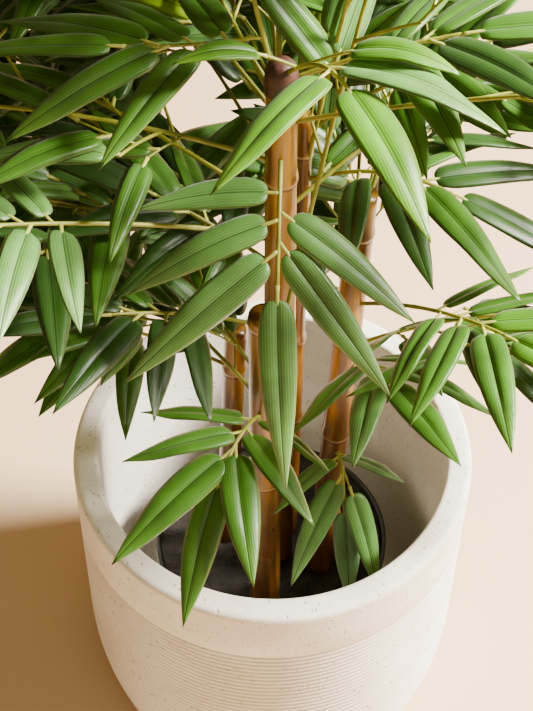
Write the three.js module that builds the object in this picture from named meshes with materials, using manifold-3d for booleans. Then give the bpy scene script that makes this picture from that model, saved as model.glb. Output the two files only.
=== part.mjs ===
// A potted artificial bamboo: five real canes with plastic branches and fabric leaves, set in a
// black grow pot that stands inside a round, stone-like planter. Millimetres, +Z up. The origin is
// the middle of the planter's flat underside, and -Y is the side that the plant shows to the front.
import * as THREE from 'three';
import { mergeVertices } from 'three/addons/utils/BufferGeometryUtils.js';
import Module from 'manifold-3d';

const wasm = await Module();
wasm.setup();

// Space left between two solids that touch
const GAP = 0.3;

// Planter: a straight wall that rounds in a little toward its foot
const RIM_RADIUS = 150;
const RIM_HEIGHT = 280;
const WALL = 19;
const RIM_ROUND = 7;
const WALL_FOOT = 104;
const FOOT_DRAW = 0.00147;
const FOOT_EDGE = 16;
const FLOOR = 22;
const PLANTER_SIDES = 40;

// Grow pot and what fills it
const GROW_TOP_RADIUS = 93;
const GROW_FOOT_RADIUS = 76;
const GROW_WALL = 3;
const GROW_HEIGHT = 138;
const FILL_BELOW_LIP = 4;
const GROW_SIDES = 30;
const FILL_TOP = FLOOR + GAP + GROW_HEIGHT - FILL_BELOW_LIP;

// Canes: where each foot stands and each top is, and the radius at both. drop is how far the nodes
// sit below an even spacing that ends at the top, as a share of it.
const CANES = {
  front: { foot: [6, -14], top: [2, -20, 668], radii: [11.6, 9.4], nodes: 3, drop: 0.44, cap: 20 },
  low: { foot: [-3, -56], top: [-5, -50, 486], radii: [11.8, 10.6], nodes: 2, drop: 0.05, cap: 0 },
  slim: { foot: [14, 10], top: [16, 20, 592], radii: [6.4, 5.6], nodes: 5, drop: 0.35, cap: 0 },
  right: { foot: [40, -24], top: [55, 12, 535], radii: [10.6, 9.0], nodes: 4, drop: 0.35, cap: 0 },
  back: { foot: [-36, 2], top: [-28, 22, 388], radii: [8.6, 7.8], nodes: 2, drop: 0.35, cap: 0 },
};
const CANE_SIDES = 10;
const NODE_GROOVE = 0.5;
const NODE_HALF = 2.5;

// Branch stems, twigs and leaves
const STEM_RADIUS = 2.2;
const TWIG_RADIUS = 1.7;
const STEM_SUNK = 3;
const STEM_STRAY = 0.6;
const LEAF_LENGTH = 104;
const LEAF_WIDTH = 20.5;
const LEAF_THICK = 1.7;
const LEAF_WAIST = 0.33;
const PAIR_PITCH = 19;
const PAIR_STAGGER = 5;
const LEAF_SETBACK = 1.2;

// How a spray opens: the angle of its first pair, what each pair and each new try adds to it, how
// much shorter and narrower each pair is than the one before, and how far the tips drop
const FAN = 36;
const FAN_STEP = 19;
const TRY_STEP = 6;
const PAIR_SHORTER = 0.11;
const PAIR_NARROWER = 0.07;
const DROOP = 0.22;

// How far apart the parts of different branches stay, and how closely that is sampled. A cell is
// wider than any of these distances.
const STEM_CLEAR = 7;
const LEAF_CLEAR = 9;
const OWN_CLEAR = 5.5;
const CANE_CLEAR = 3;
const POT_CLEAR = 4;
const CELL = 10;
const SAMPLE_STEP = 7;
const LEAF_STATIONS = 13;
const LEAF_TRIES = 4;

// The front of the plant, within this distance of its middle plane, stays open below a slope before
// the planter's mouth, and in a wedge that opens to the front. Each slope is a height at y = 0 and
// a rise per millimetre of y. The box is the space right before the canes.
const OPEN_HALF_WIDTH = 150;
const BEFORE_CANES = { halfWidth: 60, back: -38, low: 480, high: 672 };
const MOUTH_SLOPE = [299, -1.32];
const WEDGE_FLOOR = [713, 0.833];
const WEDGE_ROOF = [697, -0.773];

// Gaps in the crown along sight lines from a standing person's eye: how far each line turns to the
// right and how far it falls, both for each millimetre ahead
const EYE = [14, -718, 1248];
const SIGHT_GAPS = [
  { turn: [0.117, 0.205], fall: [0.92, 1.1] },
  { turn: [0.085, 0.117], fall: [0.99, 1.06] },
  { turn: [-0.11, -0.074], fall: [0.84, 0.9] },
  { turn: [0.134, 0.2], fall: [0.74, 0.8] },
];

// The crown: how high and how far out its branches end, widest at a share of its height
const CROWN_LOW = 440;
const CROWN_HIGH = 965;
const CROWN_REACH = 235;
const CROWN_WIDEST = 0.3;
const CROWN_BRANCHES = 36;
const BRANCH_TRIES = 120;
const FEWEST_LEAVES = 7;
const GOLDEN_ANGLE = 137.5;
const FIRST_ANGLE = 150;
const TRY_ANGLE = 31;
const TRY_DROP = 9;
const LOWEST_ROOT = 400;

// What a branch counts as distance to a cane: how far its height is off, and what the cane has
const HEIGHT_WEIGHT = 0.6;
const BRANCH_WEIGHT = 26;
const TOP_ROOT = 655;

// The twigs of a crown branch: one for each length of it, over part of its length
const TWIG_EVERY = 72;
const TWIGS_FROM = 0.26;
const TWIGS_SPREAD = 0.58;

// Branches that stand to the front. Each leaves its cane at height z and ends at a point, lifted
// by arch and swung by sway on the way. fan is the angle of its first pair of leaves.
const FRONT_BRANCHES = [
  { name: 'centre', cane: 'front', z: 600, end: [3, -93, 562], arch: 16, leaves: 6, seed: 3,
    fan: 46, first: 1, skew: 6, pitch: 17, size: 0.98 },
  { name: 'cap_left', cane: 'front', z: 655, end: [-60, 30, 860], arch: 10, leaves: 6, seed: 2,
    twigs: [{ at: 0.1, end: [-85, -20, 675], arch: -4, leaves: 6, first: 1, fan: 30 }] },
  { name: 'cap_right', cane: 'front', z: 664, end: [34, -66, 694], arch: 14, sway: -4, leaves: 3,
    fan: 50, skew: 10, first: 1, droop: 0.35, pitch: 14, size: 1.02, seed: 11,
    twigs: [{ at: 0.3, end: [34, -42, 692], arch: 1, leaves: 1, droop: 0.5, size: 0.8 },
      { at: 0.15, end: [-6, -36, 684], arch: 1, leaves: 1, droop: 0.5, size: 0.62 }] },
  { name: 'cap_far', cane: 'front', z: 655, end: [100, -20, 690], arch: 6, leaves: 5, first: 1,
    size: 1.05, seed: 14 },
  { name: 'left', cane: 'front', z: 530, end: [-170, -110, 620], arch: 12, leaves: 7, seed: 4 },
  { name: 'left_low', cane: 'front', z: 440, end: [-100, -70, 505], arch: 14, leaves: 7, seed: 5 },
  { name: 'pot_left', cane: 'low', z: 395, end: [-30, -120, 410], arch: 22, leaves: 7, seed: 6,
    first: 1, fan: 26, size: 0.94 },
  { name: 'pot_right', cane: 'right', z: 298, end: [54, -54, 284], arch: 36, leaves: 5, seed: 7,
    fan: 28, skew: 8, first: 1, droop: 0.3, size: 0.74,
    twigs: [{ at: 0.5, end: [57, -46, 296], arch: 1, leaves: 1, first: 1, size: 0.74 }] },
  { name: 'right', cane: 'right', z: 445, end: [140, -85, 515], arch: 18, leaves: 7, seed: 8 },
  { name: 'right_low', cane: 'right', z: 400, end: [75, -65, 445], arch: 10, leaves: 6, seed: 9,
    fan: 30 },
  { name: 'right_high', cane: 'slim', z: 580, end: [115, 20, 650], arch: 10, leaves: 7, seed: 10 },
  { name: 'left_back', cane: 'back', z: 352, end: [-145, 0, 420], arch: 16, leaves: 7, seed: 12 },
  { name: 'right_back', cane: 'slim', z: 540, end: [105, -15, 565], arch: 24, leaves: 7, seed: 13 },
  { name: 'left_mid', cane: 'front', z: 500, end: [-75, -5, 545], arch: 6, leaves: 7, seed: 31,
    droop: 0.35 },
];

const UP = new THREE.Vector3(0, 0, 1);
const radians = THREE.MathUtils.degToRad;
const vector = (list) => new THREE.Vector3(...list);

// A repeatable stream of numbers between two ends
function seeded(seed) {
  let state = (Math.imul(seed, 2654435761) + 12345) >>> 0;
  const draw = (low = 0, high = 1) => {
    state = (Math.imul(state, 1664525) + 1013904223) >>> 0;
    return low + ((high - low) * state) / 4294967296;
  };
  draw();
  draw();
  return draw;
}

// Solids
function solidOf(geometry) {
  const plain = geometry.clone();
  plain.deleteAttribute('normal');
  plain.deleteAttribute('uv');
  const merged = mergeVertices(plain, 1e-4);
  return new wasm.Manifold(new wasm.Mesh({
    numProp: 3,
    vertProperties: new Float32Array(merged.attributes.position.array),
    triVerts: new Uint32Array(merged.index.array),
  }));
}

function geometryOf(solid) {
  const mesh = solid.getMesh();
  const geometry = new THREE.BufferGeometry();
  const points = new Float32Array(mesh.vertProperties);
  geometry.setAttribute('position', new THREE.BufferAttribute(points, 3));
  geometry.setIndex(new THREE.BufferAttribute(new Uint32Array(mesh.triVerts), 1));
  geometry.computeVertexNormals();
  return geometry;
}

function turned(profile, sides) {
  const points = profile.map(([radius, height]) => new THREE.Vector2(radius, height));
  return new THREE.LatheGeometry(points, sides).rotateX(Math.PI / 2);
}

// Planter
function planterRadius(height) {
  const below = Math.max(0, WALL_FOOT - height);
  return RIM_RADIUS - FOOT_DRAW * below * below;
}

function planterGeometry() {
  const footRadius = planterRadius(FOOT_EDGE);
  const profile = [[0, 0]];
  for (let i = 0; i <= 3; i++) {
    const turn = (i / 3) * (Math.PI / 2);
    profile.push([footRadius - FOOT_EDGE * (1 - Math.sin(turn)), FOOT_EDGE * (1 - Math.cos(turn))]);
  }
  for (const height of [40, 70, WALL_FOOT]) profile.push([planterRadius(height), height]);
  const inner = RIM_RADIUS - WALL;
  for (let i = 0; i <= 3; i++) {
    const turn = (i / 3) * (Math.PI / 2);
    const radius = RIM_RADIUS - RIM_ROUND * (1 - Math.cos(turn));
    profile.push([radius, RIM_HEIGHT - RIM_ROUND * (1 - Math.sin(turn))]);
  }
  profile.push([inner + 3, RIM_HEIGHT], [inner, RIM_HEIGHT - 3]);
  for (const height of [WALL_FOOT, FLOOR + 12]) {
    profile.push([planterRadius(height) - WALL, height]);
  }
  profile.push([planterRadius(FLOOR) - WALL - 10, FLOOR], [0, FLOOR]);
  return turned(profile, PLANTER_SIDES);
}

// Grow pot and fill
function growPotGeometry() {
  const foot = FLOOR + GAP;
  const top = foot + GROW_HEIGHT;
  return turned([
    [0, foot],
    [GROW_FOOT_RADIUS, foot],
    [GROW_TOP_RADIUS - 2, top - 12],
    [GROW_TOP_RADIUS, top - 12],
    [GROW_TOP_RADIUS, top],
    [GROW_TOP_RADIUS - GROW_WALL, top],
    [GROW_TOP_RADIUS - 2 - GROW_WALL, top - 12],
    [GROW_FOOT_RADIUS - GROW_WALL, foot + GROW_WALL],
    [0, foot + GROW_WALL],
  ], GROW_SIDES);
}

function fillGeometry() {
  const foot = FLOOR + GROW_WALL + 2 * GAP;
  const slope = (GROW_TOP_RADIUS - 2 - GROW_FOOT_RADIUS) / (GROW_HEIGHT - 12);
  const footRadius = GROW_FOOT_RADIUS - GROW_WALL - 2 * GAP;
  const topRadius = footRadius + slope * (FILL_TOP - foot - 8);
  return turned([[0, foot], [footRadius, foot], [topRadius, FILL_TOP], [0, FILL_TOP]], GROW_SIDES);
}

// Canes
function caneAt(name, z) {
  const { foot, top, radii } = CANES[name];
  const t = (z - FILL_TOP) / (top[2] - FILL_TOP);
  const x = foot[0] + (top[0] - foot[0]) * t;
  const y = foot[1] + (top[1] - foot[1]) * t;
  return { centre: new THREE.Vector3(x, y, z), radius: radii[0] + (radii[1] - radii[0]) * t };
}

// A tapering cane with a shallow groove at each node, leaned so that its foot stays level. With
// extra it is that much larger all round.
function caneGeometry(name, extra = 0) {
  const { foot, top, nodes, drop, cap } = CANES[name];
  const start = FILL_TOP + GAP;
  const length = top[2] - start;
  const radiusAt = (height) => caneAt(name, start + height).radius + extra;
  const profile = [[0, -extra], [radiusAt(0), -extra]];
  for (let i = 1; i <= nodes; i++) {
    const height = (length - cap) * (i - drop) / nodes;
    profile.push([radiusAt(height), height - NODE_HALF]);
    profile.push([radiusAt(height) - NODE_GROOVE, height]);
    profile.push([radiusAt(height), height + NODE_HALF]);
  }
  if (cap) {
    profile.push([radiusAt(length), length - cap]);
    profile.push([radiusAt(length) - 1, length - cap / 5]);
    profile.push([radiusAt(length) * 0.6, length + extra], [0, length + extra]);
  } else {
    profile.push([radiusAt(length), length + extra], [0, length + extra]);
  }
  const slopes = [(top[0] - foot[0]) / length, (top[1] - foot[1]) / length];
  const lean = new THREE.Matrix4().makeShear(0, 0, 0, 0, ...slopes);
  const place = new THREE.Matrix4().makeTranslation(foot[0], foot[1], start);
  return turned(profile, CANE_SIDES).applyMatrix4(lean).applyMatrix4(place);
}

// Curves: each stem or twig is a bend through a start, a pull and an end
const pointOn = ({ a, b, c }, t) => new THREE.Vector3()
  .addScaledVector(a, (1 - t) * (1 - t))
  .addScaledVector(b, 2 * t * (1 - t))
  .addScaledVector(c, t * t);
const directionOn = ({ a, b, c }, t) => new THREE.Vector3()
  .addScaledVector(a, t - 1).addScaledVector(b, 1 - 2 * t).addScaledVector(c, t).normalize();

function lengthOf(line) {
  let total = 0;
  for (let i = 0; i < 16; i++) {
    total += pointOn(line, i / 16).distanceTo(pointOn(line, (i + 1) / 16));
  }
  return total;
}

function bendBetween(a, c, arch, sway) {
  const out = new THREE.Vector3(c.x - a.x, c.y - a.y, 0).normalize();
  const side = out.clone().cross(UP).normalize();
  const middle = a.clone().add(c).multiplyScalar(0.5);
  const b = middle.addScaledVector(UP, arch).addScaledVector(side, sway);
  return { line: { a, b, c }, side };
}

// Points that are already used, kept in cells so that near ones are found at once
class Space {
  constructor() {
    this.cells = new Map();
  }

  cell(p) {
    return [Math.floor(p.x / CELL), Math.floor(p.y / CELL), Math.floor(p.z / CELL)];
  }

  add(samples) {
    for (const sample of samples) {
      const key = this.cell(sample.p).join();
      if (!this.cells.has(key)) this.cells.set(key, []);
      this.cells.get(key).push(sample);
    }
  }

  isFree(samples, clear, withRoots = true) {
    for (const { p, root } of samples) {
      if (root && !withRoots) continue;
      const [i, j, k] = this.cell(p);
      for (let u = i - 1; u <= i + 1; u++) {
        for (let v = j - 1; v <= j + 1; v++) {
          for (let w = k - 1; w <= k + 1; w++) {
            for (const other of this.cells.get([u, v, w].join()) ?? []) {
              if (other.root && !withRoots) continue;
              if (p.distanceToSquared(other.p) < clear * clear) return false;
            }
          }
        }
      }
    }
    return true;
  }
}

// Only a leaf is kept out of the wedge between the centre spray and the upper crown
function inSightGap(p) {
  const ahead = p.y - EYE[1];
  const turn = (p.x - EYE[0]) / ahead;
  const fall = (EYE[2] - p.z) / ahead;
  return SIGHT_GAPS.some((gap) => turn > gap.turn[0] && turn < gap.turn[1]
    && fall > gap.fall[0] && fall < gap.fall[1]);
}

function inOpenFront(p, isStem) {
  if (inSightGap(p)) return true;
  if (Math.abs(p.x) > OPEN_HALF_WIDTH) return false;
  const heightOn = ([height, rise]) => height + rise * p.y;
  const inWedge = p.z > heightOn(WEDGE_FLOOR) && p.z < heightOn(WEDGE_ROOF);
  const { halfWidth, back, low, high } = BEFORE_CANES;
  const beforeCanes = Math.abs(p.x) < halfWidth && p.y < back && p.z > low && p.z < high;
  return beforeCanes || (inWedge && !isStem) || p.z < heightOn(MOUTH_SLOPE);
}

function clearOfPot(p) {
  const radius = Math.hypot(p.x, p.y);
  if (p.z < FILL_TOP + POT_CLEAR && radius < RIM_RADIUS + POT_CLEAR) return false;
  const offWall = Math.abs(radius - (RIM_RADIUS - WALL / 2)) > WALL / 2 + POT_CLEAR;
  return p.z > RIM_HEIGHT + POT_CLEAR || offWall;
}

function clearOfCanes(p, own) {
  return Object.keys(CANES).every((name) => {
    if (name === own) return true;
    const { centre, radius } = caneAt(name, Math.min(Math.max(p.z, FILL_TOP), CANES[name].top[2]));
    return p.distanceTo(centre) > radius + CANE_CLEAR;
  });
}

function stemSamples(line) {
  const count = Math.max(2, Math.floor(lengthOf(line) / SAMPLE_STEP));
  return Array.from({ length: count + 1 }, (_, i) => ({ p: pointOn(line, i / count), root: true }));
}

// A leaf's middle line falls away from its first direction as it runs out
const leafPoint = (leaf, s) => leaf.root.clone().addScaledVector(leaf.direction, s * leaf.length)
  .addScaledVector(UP, -leaf.droop * s * s * leaf.length);

// Share of the full half width at s, from the leaf's foot to its tip
function bladeShare(s) {
  const u = (s - 0.09) / 0.91;
  if (u <= 0) return 0;
  return u < 0.3 ? Math.sqrt(1 - (1 - u / 0.3) ** 2) : Math.max(0, 1 - ((u - 0.3) / 0.7) ** 1.8);
}

function leafSamples(leaf) {
  const samples = [];
  for (let i = 0; i < LEAF_STATIONS; i++) {
    const s = 0.14 + (0.86 * i) / (LEAF_STATIONS - 1);
    const half = (leaf.width / 2) * bladeShare(s);
    const across = half > 6 ? [-1, -0.5, 0, 0.5, 1] : half > 2.5 ? [-1, 0, 1] : [0];
    for (const share of across) {
      const p = leafPoint(leaf, s).addScaledVector(leaf.side, half * share);
      samples.push({ p, root: s < 0.3 });
    }
  }
  return samples;
}

// One leaf of a spray: the k-th from the tip, in pairs that stand a little apart
function leafOf(line, side, spray, k, flip, wild, attempt, draw) {
  const pair = Math.floor((k + 1) / 2);
  const back = pair * (spray.pitch ?? PAIR_PITCH) + (k > 0 && k % 2 === 0 ? PAIR_STAGGER : 0);
  const t = 1 - back / lengthOf(line);
  if (t < 0.06) return null;
  const along = directionOn(line, t);
  const across = side.clone().addScaledVector(along, -side.dot(along)).normalize();
  const normal = across.clone().cross(along);
  if (normal.z < 0) normal.negate();
  const hand = k === 0 ? 1 : flip * (k % 2 ? 1 : -1);
  const opening = k === 0 ? draw(-8, 8) * wild
    : (spray.fan ?? FAN) + FAN_STEP * (pair - 1) + hand * (spray.skew ?? 0) + draw(-8, 8) * wild
      + attempt * TRY_STEP;
  const direction = along.clone().multiplyScalar(Math.cos(radians(opening)))
    .addScaledVector(across, hand * Math.sin(radians(opening)))
    .addScaledVector(normal, draw(0, 0.16) * wild).normalize();
  const flat = direction.clone().cross(normal).normalize();
  const roll = radians(draw(-18, 18) * wild);
  const size = (spray.size ?? 1) * (1 + draw(-0.06, 0.06));
  const raised = direction.clone().cross(flat);
  return {
    root: pointOn(line, t),
    direction,
    side: flat.clone().multiplyScalar(Math.cos(roll)).addScaledVector(raised, Math.sin(roll)),
    length: LEAF_LENGTH * size * (1 - PAIR_SHORTER * Math.max(0, pair - 1)),
    width: LEAF_WIDTH * size * (1 - PAIR_NARROWER * Math.max(0, pair - 1)),
    droop: (spray.droop ?? DROOP) * draw(0.6, 1.4),
  };
}

// One branch: its stem, its twigs and their leaves, less whatever would touch something else
function grow(spec, taken) {
  const draw = seeded(spec.seed);
  const { centre, radius } = caneAt(spec.cane, spec.z);
  const end = vector(spec.end);
  const out = new THREE.Vector3(end.x - centre.x, end.y - centre.y, 0).normalize();
  const start = centre.clone().addScaledVector(out, radius - STEM_SUNK);
  const { line, side } = bendBetween(start, end, spec.arch, spec.sway ?? 0);
  const own = new Space();
  const samples = [];
  const keep = (points) => {
    own.add(points);
    samples.push(...points);
  };
  const isOpen = (p, cane) => clearOfPot(p) && clearOfCanes(p, cane)
    && !(spec.ruled && inOpenFront(p, cane !== null));
  const fits = (points, cane, clear) => points.every(({ p }) => isOpen(p, cane))
    && taken.isFree(points, clear);

  const stemPoints = stemSamples(line);
  if (!fits(stemPoints, spec.cane, STEM_CLEAR)) {
    return { cane: spec.cane, stems: [], leaves: [], samples: [] };
  }
  keep(stemPoints);
  const stems = [{ line, radius: STEM_RADIUS }];
  const sprays = [{ line, side, spray: spec }];
  for (const twig of spec.twigs ?? []) {
    const from = pointOn(line, twig.at);
    let to = twig.end && vector(twig.end);
    if (!to) {
      const turn = radians(twig.angle);
      const heading = directionOn(line, twig.at).multiplyScalar(Math.cos(turn))
        .addScaledVector(side, twig.hand * Math.sin(turn))
        .addScaledVector(UP, twig.lift)
        .normalize();
      to = from.clone().addScaledVector(heading, twig.length);
    }
    const bent = bendBetween(from, to, twig.arch, 0);
    const points = stemSamples(bent.line);
    if (!fits(points, spec.cane, STEM_CLEAR)) continue;
    keep(points);
    stems.push({ line: bent.line, radius: TWIG_RADIUS });
    sprays.push({ line: bent.line, side: bent.side, spray: twig });
  }

  const leaves = [];
  for (const { line: bearer, side: sideways, spray } of sprays) {
    const flip = spray.first ?? (draw() < 0.5 ? 1 : -1);
    const wild = spec.ruled ? 1 : 0.4;
    for (let k = 0; k < spray.leaves; k++) {
      for (let attempt = 0; attempt < LEAF_TRIES; attempt++) {
        const leaf = leafOf(bearer, sideways, spray, k, flip, wild, attempt, draw);
        if (!leaf) break;
        const points = leafSamples(leaf);
        if (fits(points, null, LEAF_CLEAR) && own.isFree(points, OWN_CLEAR, false)) {
          keep(points);
          leaves.push(leaf);
          break;
        }
      }
    }
  }
  return { cane: spec.cane, stems, leaves, samples };
}

// The rest of the crown: branches turned round it by the golden angle, from low to high
function crownPlan(index, attempt, used, draw) {
  const share = (index + 0.5) / CROWN_BRANCHES;
  const azimuth = radians(FIRST_ANGLE + GOLDEN_ANGLE * index + TRY_ANGLE * attempt);
  const z = CROWN_LOW + (CROWN_HIGH - CROWN_LOW) * share + draw(-20, 20);
  const widest = Math.sqrt(Math.max(0, 1 - ((share - CROWN_WIDEST) / 0.78) ** 2));
  const reach = CROWN_REACH * widest * draw(0.75, 1.05);
  const end = [reach * Math.cos(azimuth), reach * Math.sin(azimuth), z];
  let cane = null;
  let nearest = Infinity;
  for (const [name, { top }] of Object.entries(CANES)) {
    if (top[2] < LOWEST_ROOT) continue;
    const off = Math.abs(Math.min(z - 60, TOP_ROOT) - top[2]);
    const far = Math.hypot(end[0] - top[0], end[1] - top[1]) + HEIGHT_WEIGHT * off
      + BRANCH_WEIGHT * used[name] + draw(0, 90);
    if (far < nearest) {
      nearest = far;
      cane = name;
    }
  }
  const wanted = Math.min(CANES[cane].top[2] - 8, z - draw(30, 90)) - TRY_DROP * (attempt % 6);
  const rootZ = Math.max(LOWEST_ROOT, wanted);
  const away = vector(end).distanceTo(caneAt(cane, rootZ).centre);
  const count = Math.max(2, Math.min(5, Math.floor(away / TWIG_EVERY)));
  let hand = draw() < 0.5 ? 1 : -1;
  const twigs = [];
  for (let i = 0; i < count; i++) {
    twigs.push({
      at: TWIGS_FROM + (TWIGS_SPREAD * i) / (count - 1),
      hand,
      angle: draw(42, 60),
      lift: draw(-0.05, 0.3),
      length: draw(80, 110),
      arch: draw(2, 14),
      leaves: 5,
    });
    hand = -hand;
  }
  const arch = draw(10, 40) + 150 * Math.max(0, share - 0.5);
  return { cane, z: rootZ, end, arch, leaves: 6, seed: 100 + index, twigs, ruled: true };
}

function growPlant() {
  const taken = new Space();
  const branches = [];
  for (const spec of FRONT_BRANCHES) {
    const grown = grow(spec, taken);
    taken.add(grown.samples);
    branches.push({ name: `foliage_${spec.name}`, ...grown });
  }
  const used = Object.fromEntries(Object.keys(CANES).map((name) => [name, 0]));
  for (let index = 0; index < CROWN_BRANCHES; index++) {
    const draw = seeded(300 + index);
    let best = null;
    for (let attempt = 0; attempt < BRANCH_TRIES; attempt++) {
      const spec = crownPlan(index, attempt, used, draw);
      const grown = grow(spec, taken);
      if (!best || grown.leaves.length > best.leaves.length) best = grown;
      if (grown.leaves.length > 5 * spec.twigs.length) break;
    }
    if (best.leaves.length < FEWEST_LEAVES) continue;
    used[best.cane] += 1;
    taken.add(best.samples);
    branches.push({ name: `foliage_${String(index + 1).padStart(2, '0')}`, ...best });
  }
  return branches;
}

// A three-sided stem, in steps short enough that it strays little from its curve
function stemGeometry({ line, radius }) {
  const section = new THREE.Shape();
  for (let i = 0; i < 3; i++) {
    const turn = (i * 2 * Math.PI) / 3;
    section[i ? 'lineTo' : 'moveTo'](radius * Math.cos(turn), radius * Math.sin(turn));
  }
  const path = new THREE.QuadraticBezierCurve3(line.a, line.b, line.c);
  const bow = line.a.clone().add(line.c).addScaledVector(line.b, -2).length();
  const steps = Math.max(2, Math.ceil(Math.sqrt(bow / 4 / STEM_STRAY)));
  const options = { steps, extrudePath: path, bevelEnabled: false, curveSegments: 1 };
  return new THREE.ExtrudeGeometry(section, options);
}

// A leaf of eight faces: its foot, its tip and a flat four-cornered waist
function leafGeometry(leaf) {
  const foot = leaf.root.clone().addScaledVector(leaf.direction, -LEAF_SETBACK);
  const waist = leafPoint(leaf, LEAF_WAIST);
  const tip = leafPoint(leaf, 1);
  const above = tip.clone().sub(foot).cross(leaf.side).normalize();
  const corners = [
    foot,
    waist.clone().addScaledVector(leaf.side, leaf.width / 2),
    waist.clone().addScaledVector(above, LEAF_THICK / 2),
    waist.clone().addScaledVector(leaf.side, -leaf.width / 2),
    waist.clone().addScaledVector(above, -LEAF_THICK / 2),
    tip,
  ];
  const faces = [];
  for (let i = 1; i <= 4; i++) {
    const next = (i % 4) + 1;
    faces.push(0, next, i, 5, i, next);
  }
  const geometry = new THREE.BufferGeometry().setFromPoints(corners);
  geometry.setIndex(faces);
  return geometry;
}

// A branch in one piece, cut back from its cane so that the two are just clear
function foliageGeometry({ cane, stems, leaves }) {
  const pieces = [...stems.map(stemGeometry), ...leaves.map(leafGeometry)].map(solidOf);
  const whole = pieces.reduce((sum, piece) => sum.add(piece));
  return geometryOf(whole.subtract(solidOf(caneGeometry(cane, GAP))));
}

// Scene graph
const part = new THREE.Group();
part.name = 'potted_bamboo';

function addMesh(name, geometry, color, roughness) {
  const finish = { color, roughness, metalness: 0, flatShading: true };
  const material = new THREE.MeshStandardMaterial(finish);
  const mesh = new THREE.Mesh(geometry, material);
  mesh.name = name;
  part.add(mesh);
}

addMesh('planter', planterGeometry(), 0xded8cc, 0.85);
addMesh('grow_pot', growPotGeometry(), 0x1a1918, 0.6);
addMesh('fill', fillGeometry(), 0x24201c, 0.95);
for (const name of Object.keys(CANES)) addMesh(`cane_${name}`, caneGeometry(name), 0xb9803f, 0.55);
for (const branch of growPlant()) addMesh(branch.name, foliageGeometry(branch), 0x4f8a3a, 0.6);

export default part;
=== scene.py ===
"""A potted artificial bamboo: canes, branches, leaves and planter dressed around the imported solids.

The branches grow by the rule that the solids grow by, with the same values, and the crown is then
carried on to finer sprays. Lengths are millimetres. Lights and the floor are placed in metres, and a
finished mesh is in metres too.
"""
import itertools
import math

import bpy
import numpy as np
from mathutils import Matrix, Vector


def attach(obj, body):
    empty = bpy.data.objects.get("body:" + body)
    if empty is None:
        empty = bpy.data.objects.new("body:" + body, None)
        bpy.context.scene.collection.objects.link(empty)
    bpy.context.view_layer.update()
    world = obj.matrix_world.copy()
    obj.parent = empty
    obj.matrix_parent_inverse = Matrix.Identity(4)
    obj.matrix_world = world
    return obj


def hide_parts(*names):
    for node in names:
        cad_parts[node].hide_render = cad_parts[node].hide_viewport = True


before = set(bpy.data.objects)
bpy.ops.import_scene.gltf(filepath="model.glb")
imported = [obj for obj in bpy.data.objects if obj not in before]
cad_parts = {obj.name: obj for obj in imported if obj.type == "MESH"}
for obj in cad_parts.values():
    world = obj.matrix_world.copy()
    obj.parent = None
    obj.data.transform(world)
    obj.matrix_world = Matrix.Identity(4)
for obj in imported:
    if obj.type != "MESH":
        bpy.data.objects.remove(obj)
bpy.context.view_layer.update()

METRE = 0.001
UP = np.array([0.0, 0.0, 1.0])

# Camera, found from the planter's rim and the canes in the photograph
IMAGE_HEIGHT = 711
FOCAL_PIXELS = 1600
CAMERA_AT = (13.95, -717.9, 1248.4)
PITCH = math.radians(50.2)
YAW = math.radians(-1.54)
ROLL = math.radians(0.62)
SENSOR = 36
CLIP_END = 50

# Lights, sky and floor, placed in metres
LIGHTS_AIM = (0, 0, 0.45)
LIGHTS = [
    {"name": "key", "at": (2.15, 0.25, 2.15), "size": 0.8, "power": 690, "colour": (255, 247, 234)},
    {"name": "front", "at": (0.9, -2.0, 2.3), "size": 1.6, "power": 10, "colour": (255, 240, 214)},
]
SKY_COLOUR = (255, 214, 164)
SKY_STRENGTH = 0.35
GROUND_HALF = 6

# A turned form closes at this radius, and a random phase is drawn from about a full turn
AXIS = 0.05
PHASE = (0, 6.28)

# Planter: drawn in below WALL_FOOT, with grooves up to a plain band and a rim that is squarer than a
# round one
RIM_RADIUS = 150
RIM_HEIGHT = 280
RIM_ROUND = 7
RIM_SQUARENESS = 2.7
MOUTH_ROUND = 4
WALL = 19
WALL_FOOT = 104
FOOT_DRAW = 0.00147
FOOT_EDGE = 16
FLOOR = 22
FLOOR_CORNER = 10
INSIDE_HEIGHTS = (250, 200, 150, WALL_FOOT, 80, 56, FLOOR + 12)
GROOVES_FROM = 30
GROOVE_TOP = 226
GROOVE_PITCH = 5.5
GROOVE_DEPTH = 0.9
GROOVE_SHARPNESS = 1.5
GROOVE_STATIONS = 6
PLAIN_BAND = (GROOVE_TOP + 2, 250)
FOOT_STEPS = 8
RIM_STEPS = 12
MOUTH_STEPS = 6
PLANTER_SEGMENTS = 192

# Grow pot: its lip is given as how far in from the top radius and how far below the top. Its inner
# side has a ring below the top and one above the base.
GAP = 0.3
GROW_TOP_RADIUS = 93
GROW_FOOT_RADIUS = 76
GROW_WALL = 3
GROW_HEIGHT = 138
GROW_SLOPE = (GROW_TOP_RADIUS - GROW_FOOT_RADIUS) / GROW_HEIGHT
GROW_EDGE = 3
GROW_FLOOR = 4
GROW_LIP = [(0, 1.2), (0.8, 0.2), (1.5, 0), (2.2, 0.2), (GROW_WALL, 1.2)]
GROW_RING_BELOW = 20
GROW_RING_ABOVE = 40
GROW_SEGMENTS = 96

# What fills the grow pot, and the waves that make its top uneven
FILL_BELOW_LIP = 4
FILL_TOP = FLOOR + GAP + GROW_HEIGHT - FILL_BELOW_LIP
FILL_BASE = FLOOR + GAP + 5
FILL_RINGS = 46
FILL_SEGMENTS = 128
FILL_SEED = 77
WAVES = 14
WAVE_PITCH = (0.04, 0.3)
WAVE_SIZE = (0.3, 1.0)
WAVE_HEIGHT = 0.55
WAVE_DROP = 0.1

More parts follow.
